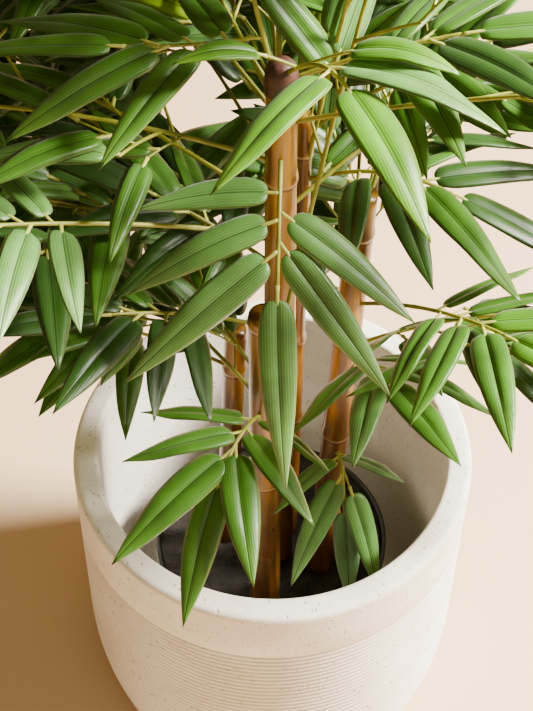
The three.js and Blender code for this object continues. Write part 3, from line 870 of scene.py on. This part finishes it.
# Meshes: every form below is a loft, rings of points joined one to the next and closed at both ends
class Builder:
    """Gathers lofts into one mesh, with the values its material reads stored on the points."""

    def __init__(self, *layers):
        self.points = []
        self.quads = []
        self.fans = []
        self.slots = []
        self.fan_slots = []
        self.layers = {name: [] for name in layers}
        self.count = 0

    def loft(self, rings, slots=0, **values):
        """rings is an array of rings x points x 3; slots gives a material to each side of a ring."""
        rows, sides = rings.shape[:2]
        index = np.arange(rows * sides).reshape(rows, sides) + self.count
        ahead = np.roll(index, -1, axis=1)
        quads = np.stack([index[:-1], ahead[:-1], ahead[1:], index[1:]], axis=2)
        self.quads.append(quads.reshape(-1, 4))
        slots = np.broadcast_to(slots, (rows - 1, sides))
        self.slots.append(slots.reshape(-1))
        for row, turn in ((0, -1), (-1, 1)):
            self.fans.append(index[row][::turn].tolist())
            self.fan_slots.append(int(slots[row, 0]))
        self.points.append(rings.reshape(-1, 3))
        for name, kept in self.layers.items():
            kept.append(np.broadcast_to(values[name], (rows, sides)).reshape(-1))
        self.count += rows * sides

    def build(self, name, materials):
        mesh = bpy.data.meshes.new(name)
        points = np.concatenate(self.points) * METRE
        faces = np.concatenate(self.quads).tolist() + self.fans
        mesh.from_pydata(points.tolist(), [], faces)
        slots = np.concatenate([*self.slots, self.fan_slots]).astype(np.int32)
        mesh.polygons.foreach_set("material_index", slots)
        mesh.polygons.foreach_set("use_smooth", np.full(len(faces), True))
        for layer, kept in self.layers.items():
            attribute = mesh.attributes.new(layer, "FLOAT", "POINT")
            attribute.data.foreach_set("value", np.concatenate(kept).astype(np.float32))
        for material in materials:
            mesh.materials.append(material)
        mesh.update()
        return linked(name, mesh)


def linked(name, data):
    """An object of the scene with this mesh, light or camera."""
    thing = bpy.data.objects.new(name, data)
    bpy.context.scene.collection.objects.link(thing)
    return thing


def dressed(piece, slot, *nodes):
    """Puts a piece on the plant's body, in the place of these solids."""
    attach(piece, "root")
    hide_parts(*nodes)


def round_turn(sides):
    return np.arange(sides) * (2 * math.pi / sides)


def level_rings(centres, radii, sides):
    """Level rings round a line of centres, with a radius for each ring or for each point."""
    turn = round_turn(sides)
    rings = np.empty((len(centres), sides, 3))
    rings[:, :, 0] = centres[:, :1] + radii * np.cos(turn)
    rings[:, :, 1] = centres[:, 1:2] + radii * np.sin(turn)
    rings[:, :, 2] = centres[:, 2:]
    return rings


def turned(builder, profile, sides, **values):
    """A profile of radius and height turned about the planter's axis."""
    profile = np.array(profile, dtype=float)
    centres = np.zeros((len(profile), 3))
    centres[:, 2] = profile[:, 1]
    builder.loft(level_rings(centres, profile[:, :1], sides), **values)


def square_to(centres, across=None, *places):
    """The wide and the high way at each of a line of points, which stand at these places along it."""
    ahead = np.gradient(centres, *places, axis=0)
    ahead /= np.linalg.norm(ahead, axis=1)[:, None]
    wide = np.cross(ahead, UP) if across is None else across - ahead * (ahead @ across)[:, None]
    wide /= np.linalg.norm(wide, axis=1)[:, None]
    return wide, np.cross(wide, ahead)


def tube_rings(centres, radii, sides, squash=1.0, across=None):
    """Rings round a line of points, each square to it; across gives the wide way of a flat tube."""
    wide, high = square_to(centres, across)
    turn = round_turn(sides)
    radii = radii[:, None, None]
    return (centres[:, None] + wide[:, None] * (np.cos(turn)[None, :, None] * radii)
            + high[:, None] * (np.sin(turn)[None, :, None] * radii * squash))


# Materials
class Nodes:
    """Short names for the shader nodes that the materials below use."""

    def __init__(self, name, colour, roughness, **sockets):
        self.material = bpy.data.materials.new(name)
        self.material.use_nodes = True
        self.tree = self.material.node_tree
        self.shader = self.tree.nodes["Principled BSDF"]
        self.shader.inputs["Base Color"].default_value = rgb(colour)
        self.shader.inputs["Roughness"].default_value = roughness
        self.material.diffuse_color = rgb(colour)
        for socket, value in sockets.items():
            self.shader.inputs[socket.replace("_", " ")].default_value = value

    def add(self, kind, inputs=None, **options):
        node = self.tree.nodes.new(kind)
        for option, value in options.items():
            setattr(node, option, value)
        for socket, value in (inputs or {}).items():
            self.put(node.inputs[socket], value)
        return node

    def put(self, socket, value):
        if isinstance(value, bpy.types.NodeSocket):
            self.tree.links.new(value, socket)
        else:
            socket.default_value = value

    def math(self, operation, *values):
        return self.add("ShaderNodeMath", dict(enumerate(values)), operation=operation).outputs[0]

    def value(self, layer):
        return self.add("ShaderNodeAttribute", attribute_name=layer).outputs["Fac"]

    def place(self, scale=(1, 1, 1)):
        """Coordinates of the object in metres, stretched by a scale on each axis."""
        at = self.add("ShaderNodeTexCoord").outputs["Object"]
        return self.add("ShaderNodeMapping", {"Vector": at, "Scale": scale}).outputs[0]

    def noise(self, scale, detail=3.0, at=None, roughness=0.55):
        inputs = {"Vector": at or self.place(), "Scale": scale, "Detail": detail, "Roughness": roughness}
        return self.add("ShaderNodeTexNoise", inputs).outputs["Fac"]

    def spots(self, scale, at=None):
        inputs = {"Vector": at or self.place(), "Scale": scale}
        return self.add("ShaderNodeTexVoronoi", inputs).outputs["Distance"]

    def between(self, value, low, high):
        """0 below low, 1 above high, and smooth from one to the other."""
        inputs = {"Value": value, "From Min": low, "From Max": high}
        return self.add("ShaderNodeMapRange", inputs, interpolation_type="SMOOTHSTEP").outputs[0]

    def mix(self, share, first, second):
        node = self.add("ShaderNodeMix", data_type="RGBA")
        self.put(node.inputs[0], share)
        self.put(node.inputs[6], rgb(first) if isinstance(first, tuple) else first)
        self.put(node.inputs[7], rgb(second) if isinstance(second, tuple) else second)
        return node.outputs[2]

    def over(self, tone, share, amount, colour):
        """A colour over a tone where the share says, by this amount at most."""
        return self.mix(self.math("MULTIPLY", share, amount), tone, colour)

    def colour(self, value):
        self.put(self.shader.inputs["Base Color"], value)

    def rough(self, value):
        self.put(self.shader.inputs["Roughness"], value)

    def bump(self, height, distance, strength=1.0):
        before = self.shader.inputs["Normal"].links
        inputs = {"Height": height, "Distance": distance, "Strength": strength}
        node = self.add("ShaderNodeBump", inputs)
        if before:
            self.put(node.inputs["Normal"], before[0].from_socket)
        self.put(self.shader.inputs["Normal"], node.outputs[0])


def rgb(colour):
    """A display colour of three 0 to 255 values as the linear colour that shaders take."""
    linear = [(c / 255 / 12.92) if c <= 10.3 else ((c / 255 + 0.055) / 1.055) ** 2.4 for c in colour]
    return (*linear, 1.0)


def shaded(colour, share):
    return tuple(min(255, value * share) for value in colour)


def leaf_material(name, base, vein_and_sheen, rim_light, under=False):
    """Printed cloth with a satin face: fine pale veins, a dark crease line of painted shade, a thin pale
    rim of painted rim light and a painted sheen toward the tip.
    """
    n = Nodes(name, base, 0.45, Specular_IOR_Level=0.5, Sheen_Weight=0.12, Sheen_Roughness=0.35)
    across = n.value("across")
    along = n.value("along")
    edge = n.value("edge")
    tone = n.mix(n.between(n.noise(30, 2), 0.3, 0.7), shaded(base, 0.9), shaded(base, 1.14))
    # Painted sheen: paler toward the tip, in the colour that also draws the veins
    tone = n.over(tone, n.between(along, 0.6, 1.0), 0.22, vein_and_sheen)
    lines = n.math("PINGPONG", n.math("MULTIPLY", across, 1 / VEIN_PITCH), 0.5)
    drawn = n.between(n.noise(110, 2), 0.2, 0.5)
    veins = n.math("MULTIPLY", n.between(lines, 0.38, 0.5), drawn)
    tone = n.over(tone, veins, 0.25 if under else 0.55, vein_and_sheen)
    # Painted shade: a dark line down the crease, where the fold's groove lies in shadow
    crease = n.between(n.math("ABSOLUTE", across), 0.6, 0.12)
    tone = n.over(tone, crease, 0.8, shaded(base, 0.4))
    # Painted rim light: a thin pale edge round the blade
    tone = n.over(tone, n.between(edge, 0.93, 1.0), 0.45, rim_light)
    n.colour(tone)
    n.rough(n.math("MULTIPLY_ADD", n.noise(260, 2), 0.14, 0.33))
    n.bump(veins, 0.00015, 0.35)
    n.bump(n.noise(1400, 1), 0.00008, 0.5)
    return n.material


def mottled(name):
    """A plain material of two mixed tones with a fine relief."""
    base, roughness, noise, ends, tones, relief = MOTTLED[name]
    n = Nodes(name, base, roughness)
    share = n.noise(*noise)
    n.colour(n.mix(n.between(share, *ends) if ends else share, *tones))
    if relief:
        scale, detail, depth, strength = relief
        n.bump(n.noise(scale, detail), depth, strength)
    return n.material


def cane_material(name, light, dark, low):
    """Varnished cane: long streaks, dark scars, a faint pink band over a dark line at each node, and
    painted shade darkening it towards the foot.
    """
    n = Nodes(name, light, 0.34, Coat_Weight=0.25, Coat_Roughness=0.2)
    height = n.value("height")
    band = n.value("band")
    streaks = n.noise(420, 4, n.place((1, 1, 0.03)), 0.6)
    broad = n.noise(110, 2, n.place((1, 1, 0.04)))
    blotch = n.noise(28, 3, n.place((1, 1, 0.35)))
    tone = n.mix(n.between(broad, 0.36, 0.62), dark, light)
    tone = n.over(tone, n.between(streaks, 0.55, 0.72), 0.5, dark)
    tone = n.over(tone, n.between(blotch, 0.46, 0.7), 0.6, shaded(light, 1.12))
    # Painted shade: darker towards the foot, where the foliage and the planter keep the light off
    tone = n.mix(n.between(height, 0.55, 0.02), tone, n.mix(n.between(streaks, 0.3, 0.7), low, dark))
    scars = n.spots(34, n.place((1, 1, 0.42)))
    tone = n.over(tone, n.between(scars, 0.15, 0.07), 0.75, SCAR)
    tone = n.over(tone, n.between(band, 0.2, 0.8), 0.55, PALE_BAND)
    tone = n.over(tone, n.between(band, -0.25, -0.7), 0.75, DARK_BAND)
    n.colour(tone)
    n.rough(n.math("MULTIPLY_ADD", blotch, 0.2, 0.2))
    n.bump(streaks, 0.0002, 0.6)
    return n.material


def planter_material():
    """Pale cast stone: grey-brown specks of two sizes, a few pits, and painted shade in the grooves."""
    n = Nodes("planter_stone", STONE, 0.72)
    cloud = n.noise(14, 4)
    tone = n.mix(n.between(cloud, 0.35, 0.7), *STONE_TONES)
    few = n.between(n.noise(60, 2), 0.42, 0.6)
    specks = n.math("MULTIPLY", n.between(n.spots(330), 0.24, 0.12), few)
    tone = n.over(tone, specks, 0.8, SPECK)
    blots = n.between(n.spots(125), 0.2, 0.1)
    tone = n.over(tone, blots, 0.42, BLOT)
    # Painted shade: the grooves darkened where they cut deepest
    tone = n.over(tone, n.value("groove"), 0.5, GROOVE_SHADE)
    n.colour(tone)
    n.rough(n.math("MULTIPLY_ADD", cloud, 0.15, 0.62))
    n.bump(n.noise(420, 5), 0.0006, 0.6)
    n.bump(n.math("SUBTRACT", 1.0, blots), 0.0006, 0.7)
    return n.material


# Planter, grow pot and filling
def planter_radius(height):
    below = max(0, WALL_FOOT - height)
    return RIM_RADIUS - FOOT_DRAW * below * below


def rounded(turn, squareness=2):
    """The two ways across a quarter turn, which is a circle's at 2 and squarer above it."""
    power = 2 / squareness
    return 1 - math.cos(turn) ** power, 1 - math.sin(turn) ** power


def make_planter():
    foot_radius = planter_radius(FOOT_EDGE)
    profile = [(AXIS, 0, 0)]
    for i in range(FOOT_STEPS + 1):
        turn = i / FOOT_STEPS * math.pi / 2
        inward, up = FOOT_EDGE * (1 - math.sin(turn)), FOOT_EDGE * (1 - math.cos(turn))
        profile.append((foot_radius - inward, up, 0))
    grooves = int((GROOVE_TOP - GROOVES_FROM) / GROOVE_PITCH)
    for i in range(grooves * GROOVE_STATIONS + 1):
        height = GROOVE_TOP - grooves * GROOVE_PITCH + i * GROOVE_PITCH / GROOVE_STATIONS
        cut = (0.5 + 0.5 * math.cos(2 * i / GROOVE_STATIONS * math.pi)) ** GROOVE_SHARPNESS
        profile.append((planter_radius(height) - GROOVE_DEPTH * cut, height, cut))
    profile += [(RIM_RADIUS, height, 0) for height in PLAIN_BAND]
    for i in range(RIM_STEPS + 1):
        out, up = rounded(i / RIM_STEPS * math.pi / 2, RIM_SQUARENESS)
        profile.append((RIM_RADIUS - RIM_ROUND * out, RIM_HEIGHT - RIM_ROUND * up, 0))
    for i in range(MOUTH_STEPS + 1):
        up, out = rounded(i / MOUTH_STEPS * math.pi / 2)
        profile.append((RIM_RADIUS - WALL + MOUTH_ROUND * out, RIM_HEIGHT - MOUTH_ROUND * up, 0))
    profile += [(planter_radius(height) - WALL, height, 0) for height in INSIDE_HEIGHTS]
    profile += [(planter_radius(FLOOR) - WALL - FLOOR_CORNER, FLOOR, 0), (AXIS, FLOOR, 0)]
    profile = np.array(profile, dtype=float)
    builder = Builder("groove")
    turned(builder, profile[:, :2], PLANTER_SEGMENTS, groove=profile[:, 2:])
    dressed(builder.build("planter_shell", [planter_material()]), "planter_stone", "planter")


def make_grow_pot():
    base = FLOOR + GAP
    top = base + GROW_HEIGHT
    outer = [(AXIS, base), (GROW_FOOT_RADIUS - GROW_EDGE, base), (GROW_FOOT_RADIUS, base + GROW_EDGE)]
    lip = [(GROW_TOP_RADIUS - inward, top - below) for inward, below in GROW_LIP]
    inner = [(GROW_TOP_RADIUS - GROW_WALL - GROW_SLOPE * (top - z), z)
             for z in (top - GROW_RING_BELOW, base + GROW_RING_ABOVE, base + GROW_FLOOR)]
    builder = Builder()
    turned(builder, outer + lip + inner + [(AXIS, base + GROW_FLOOR)], GROW_SEGMENTS)
    piece = builder.build("grow_pot_shell", [mottled("grow_pot_plastic")])
    dressed(piece, "grow_pot_plastic", "grow_pot")


def make_fill():
    edge = GROW_TOP_RADIUS - GROW_WALL - GAP
    low_edge = edge - GROW_SLOPE * (FILL_TOP - FILL_BASE) - 1
    radii = [AXIS, low_edge, *np.linspace(edge - GROW_SLOPE * FILL_BELOW_LIP, AXIS, FILL_RINGS)]
    draw = seeded(FILL_SEED)
    waves = [(draw(*WAVE_PITCH), draw(*PHASE), draw(*PHASE), draw(*WAVE_SIZE)) for _ in range(WAVES)]
    turn = round_turn(FILL_SEGMENTS)
    rings = np.empty((len(radii), FILL_SEGMENTS, 3))
    for row, radius in enumerate(radii):
        x = radius * np.cos(turn)
        y = radius * np.sin(turn)
        z = np.full(FILL_SEGMENTS, float(FILL_BASE if row < 2 else FILL_TOP))
        if row > 2:
            for pitch, heading, phase, size in waves:
                wave = np.sin((x * math.cos(heading) + y * math.sin(heading)) * pitch + phase)
                z += WAVE_HEIGHT * size * wave - WAVE_DROP
        rings[row] = np.stack([x, y, z], axis=1)
    builder = Builder()
    builder.loft(rings)
    dressed(builder.build("fill_top", [mottled("fill_dark")]), "fill_dark", "fill")


# Canes
def cane_middles(cane, heights):
    """Points up the middle of a cane at these heights above its start."""
    foot, top = cane["foot"], cane["top"]
    h = np.array(heights, dtype=float)
    length = top[2] - CANE_START
    x = foot[0] + (top[0] - foot[0]) * h / length
    y = foot[1] + (top[1] - foot[1]) * h / length
    return np.stack([x, y, CANE_START + h], axis=1)


def hump(size, at, width, height):
    return size * math.exp(-((height - at) / width) ** 2)


def make_cane(name):
    """A cane with a swollen ring, a pale band and a dark line at each node, and its end."""
    cane = CANES[name]
    body = cane["top"][2] - CANE_START - cane["cap"]
    nodes = [body * (i - cane["drop"]) / cane["nodes"] for i in range(1, cane["nodes"] + 1)]
    heights = set(np.linspace(-CANE_SUNK, body, int(body / CANE_STEP)).tolist())
    for node in nodes:
        heights.update(node + step for step in NODE_STATIONS)
    heights = sorted(h for h in heights if h <= body)
    radii = []
    bands = []
    for h in heights:
        radius = cane_at(name, CANE_START + h)[1]
        band = 0.0
        for node in nodes:
            radius += hump(*NODE_SWELLING, h - node) + hump(*NODE_PINCH, h - node)
            band += hump(*NODE_PALE, h - node) + hump(*NODE_DARK, h - node)
        radii.append(radius)
        bands.append(band)
    radii = np.array(radii)[:, None]
    middles = cane_middles(cane, heights)
    draw = seeded(len(name) * CANE_SEED + cane["nodes"])
    turn = round_turn(CANE_SIDES)
    uneven = np.ones((len(heights), CANE_SIDES))
    for share, lobes, twist in UNROUND:
        uneven += share * np.sin(lobes * turn + draw(*PHASE) + middles[:, 2:] * twist)
    skin = Builder("height", "band")
    skin.loft(level_rings(middles, radii * uneven, CANE_SIDES), band=np.array(bands)[:, None],
              height=(middles[:, 2:] - FILL_TOP) / CANE_TONE_HEIGHT)
    piece = skin.build(f"cane_{name}_skin", [cane_material(f"cane_{name}", *CANE_TONES)])
    dressed(piece, "cane_wood", f"cane_{name}")
    share, more, up = np.array(CAP_END if cane["cap"] else CUT_END).T
    ends = (radii[-1] * share + more)[:, None]
    end = Builder()
    end.loft(level_rings(cane_middles(cane, body + up), ends, CANE_END_SIDES))
    piece = end.build(f"cane_{name}_end", [mottled("cap_plastic" if cane["cap"] else "cane_cut")])
    dressed(piece, "cane_wood", f"cane_{name}")


# Stems, petioles and leaves
def carrying_stems(branch):
    """The stems that carry leaves, and the main one as far out as its last twig."""
    main, *others = branch.stems
    others = [stem for stem in others if stem["used"] > 0]
    main["used"] = max([main["used"]] + [stem["at"] for stem in others])
    return [main] + others


def add_stem(builder, stem):
    """A tapered stem with a knob at each pair of leaves, from its root to just past its last leaf."""
    line = stem["line"]
    end = min(1.0, stem["used"] + STEM_PAST_LEAF)
    length = length_of(line)
    ts = np.linspace(0, end, max(STEM_FEWEST_STEPS, int(length * end / STEM_STEP)) + 1)
    knobs = np.maximum(0, np.cos(ts * length / PAIR_PITCH * 2 * math.pi)) ** STEM_KNOB_SHARPNESS
    radii = stem["radius"] * STEM_SLIMMER * (1.0 - STEM_TAPER * ts)
    centres = points_on(line, ts)
    ahead = direction_on(line, end)
    tip_centres = [centres[-1] + ahead * past for past, _ in STEM_TIP]
    tip_radii = [radii[-1] * share for _, share in STEM_TIP]
    radii = np.concatenate([radii * (1 + STEM_KNOB * knobs), tip_radii])
    builder.loft(tube_rings(np.concatenate([centres, tip_centres]), radii, STEM_SIDES))


def full_share(s):
    """The blade's outline: square shouldered at its foot, then a long taper to the tip."""
    u = (s - BLADE_START) / (1 - BLADE_START)
    if u <= 0:
        return 0.0
    if u < SHOULDER:
        return (1 - (1 - u / SHOULDER) ** BLADE_SQUARENESS) ** (1 / BLADE_SQUARENESS)
    return max(0.0, 1 - ((u - SHOULDER) / (1 - SHOULDER)) ** BLADE_TAPER)


def faded(distance, span, least):
    """A share that grows with a distance, from the least one to 1."""
    return np.clip(distance / span, least, 1)


def add_leaf(leaf, wider, blades, petioles, slot, columns, stations, draw):
    """A thin closed blade, creased along its middle, on a short flat petiole."""
    side = leaf["side"]
    sickle = draw(*SICKLE) * leaf["length"]
    crease = draw(*CREASE)
    ripple = draw(*RIPPLE)
    phase = draw(*PHASE)
    twist = draw(*TWIST)

    # The middle line, and the wide and high way at each place on it
    rest = np.linspace(FOOT_STATIONS[-1], 1, stations - len(FOOT_STATIONS) + 1)[1:]
    u = np.concatenate([FOOT_STATIONS, rest ** STATION_CROWDING])
    s = BLADE_START + (1 - BLADE_START) * u
    centre = leaf_points(leaf, s) + side * (sickle * (s ** 2))[:, None]
    wide, high = square_to(centre, side, s)
    if high[:, 2].mean() < 0:
        high = -high
    half = leaf["width"] / 2 * wider * np.array([full_share(value) for value in s])
    half[0] = BLADE_FOOT_HALF
    half[-1] = BLADE_TIP_HALF

    # The section: columns crowd to the crease, rise from it, fall to the edges and ripple
    c = np.linspace(-1, 1, columns)
    c = np.sign(c) * np.abs(c) ** COLUMN_CROWDING
    size = np.abs(c)
    fade = faded(FADE_TO_TIP[0] - s, *FADE_TO_TIP[1:]) * faded(s - FADE_TO_FOOT[0], *FADE_TO_FOOT[1:])
    rise = CREASE_RISE * crease * (1 - np.exp(-size / CREASE_WIDTH))
    fall = EDGE_FALL * size ** EDGE_POWER
    wave = ripple * faded(half, RIPPLE_HALF, 0) * np.sin(s * RIPPLE_RATE + phase)
    lift = half[:, None] * (rise[None, :] * fade[:, None] - fall[None, :])
    lift = lift + wave[:, None] * (size ** RIPPLE_POWER * np.sign(c))[None, :]

    # The blade, twisted more and more to its tip
    swing = (twist * s)[:, None]
    offset = half[:, None] * c[None, :]
    across = offset * np.cos(swing) - lift * np.sin(swing)
    upward = offset * np.sin(swing) + lift * np.cos(swing)
    top = centre[:, None] + wide[:, None] * across[:, :, None] + high[:, None] * upward[:, :, None]
    under = (top - high[:, None] * BLADE_THICK)[:, -2:0:-1]
    c_ring = np.concatenate([c, c[-2:0:-1]])
    faces = [slot * 2] * (columns - 1) + [slot * 2 + 1] * (columns - 1)
    blades.loft(np.concatenate([top, under], axis=1), np.array(faces)[None, :],
                across=half[:, None] * c_ring[None, :], along=s[:, None], edge=np.abs(c_ring)[None, :])

    foot, sunk, radii = np.array(PETIOLE).T
    spine = leaf_points(leaf, foot) + side * (sickle * foot ** 2)[:, None]
    spine = spine - high[0] * sunk[:, None]
    petioles.loft(tube_rings(spine, radii, PETIOLE_SIDES, PETIOLE_FLATNESS, side))


def tone_of(name, draw):
    """The colour of one leaf of a branch."""
    if name in SPRAY_TONES:
        return SPRAY_TONES[name][1 if draw() < SECOND_TONE_SHARE else 0]
    return CROWN_TONES[int(draw(0, len(CROWN_TONES)) * draw(*TONE_LEAN))]


def make_foliage(branches):
    """Leaves, petioles and stems, each a piece for the front, the low and the high branches."""
    tone_names = list(TONES)
    materials = []
    for name, (base, vein_and_sheen, rim_light, pale) in TONES.items():
        materials.append(leaf_material(f"leaf_{name}", base, vein_and_sheen, rim_light))
        materials.append(leaf_material(f"leaf_{name}_under", pale, vein_and_sheen, rim_light, under=True))
    groups = {"front": [], "low": [], "high": []}
    for name, branch in branches.items():
        crown_group = "low" if branch.spec["end"][2] < LOW_CROWN else "high"
        groups["front" if name in SPRAY_TONES else crown_group].append((name, branch))
    stem = mottled("stem_plastic")
    petiole = mottled("petiole_plastic")
    for group, members in groups.items():
        detail = (COLUMNS_FRONT, STATIONS_FRONT) if group == "front" else (COLUMNS_CROWN, STATIONS_CROWN)
        blades = Builder("across", "along", "edge")
        petioles = Builder()
        stems = Builder()
        nodes = [name for name, _ in members]
        for name, branch in members:
            draw = seeded(LEAF_SEED + sum(ord(letter) for letter in name))
            wider = WIDEST if name in BROAD_SPRAYS else WIDER
            for item in carrying_stems(branch):
                add_stem(stems, item)
            for leaf in branch.leaves:
                slot = tone_names.index(tone_of(name, draw))
                add_leaf(leaf, wider, blades, petioles, slot, *detail, draw)
        dressed(stems.build(f"stems_{group}", [stem]), "leaf_fabric", *nodes)
        dressed(petioles.build(f"petioles_{group}", [petiole]), "leaf_fabric", *nodes)
        dressed(blades.build(f"leaves_{group}", materials), "leaf_fabric", *nodes)


# Camera, floor and light
def make_camera():
    ahead = math.cos(PITCH)
    forward = Vector((math.sin(YAW) * ahead, math.cos(YAW) * ahead, -math.sin(PITCH)))
    level = forward.cross(Vector((0, 0, 1))).normalized()
    upright = level.cross(forward)
    right = math.cos(ROLL) * level + math.sin(ROLL) * upright
    up = -math.sin(ROLL) * level + math.cos(ROLL) * upright
    data = bpy.data.cameras.new("camera")
    data.sensor_width = SENSOR
    data.lens = FOCAL_PIXELS / IMAGE_HEIGHT * SENSOR
    data.clip_end = CLIP_END
    camera = linked("camera", data)
    turn = Matrix((right, up, -forward)).transposed().to_4x4()
    camera.matrix_world = Matrix.Translation(Vector(CAMERA_AT) * METRE) @ turn
    bpy.context.scene.camera = camera


def make_light(spec):
    data = bpy.data.lights.new(spec["name"], "AREA")
    data.shape = "DISK"
    data.size = spec["size"]
    data.energy = spec["power"]
    data.color = rgb(spec["colour"])[:3]
    light = linked(spec["name"], data)
    light.location = spec["at"]
    light.rotation_euler = (Vector(LIGHTS_AIM) - light.location).to_track_quat("-Z", "Y").to_euler()


def make_floor():
    mesh = bpy.data.meshes.new("floor")
    corners = [(x * GROUND_HALF, y * GROUND_HALF, 0) for x, y in ((-1, -1), (1, -1), (1, 1), (-1, 1))]
    mesh.from_pydata(corners, [], [(0, 1, 2, 3)])
    mesh.materials.append(mottled("floor_plain"))
    floor = linked("floor", mesh)


def make_world():
    world = bpy.data.worlds.new("studio")
    bpy.context.scene.world = world
    world.use_nodes = True
    background = world.node_tree.nodes["Background"]
    background.inputs["Color"].default_value = rgb(SKY_COLOUR)
    background.inputs["Strength"].default_value = SKY_STRENGTH


make_camera()
make_world()
make_floor()
for light_spec in LIGHTS:
    make_light(light_spec)
make_planter()
make_grow_pot()
make_fill()
for cane_name in CANES:
    make_cane(cane_name)
branches, taken = grow_plant()
for branch in branches.values():
    if branch.ruled:
        grow_finer(branch, taken)
make_foliage(branches)
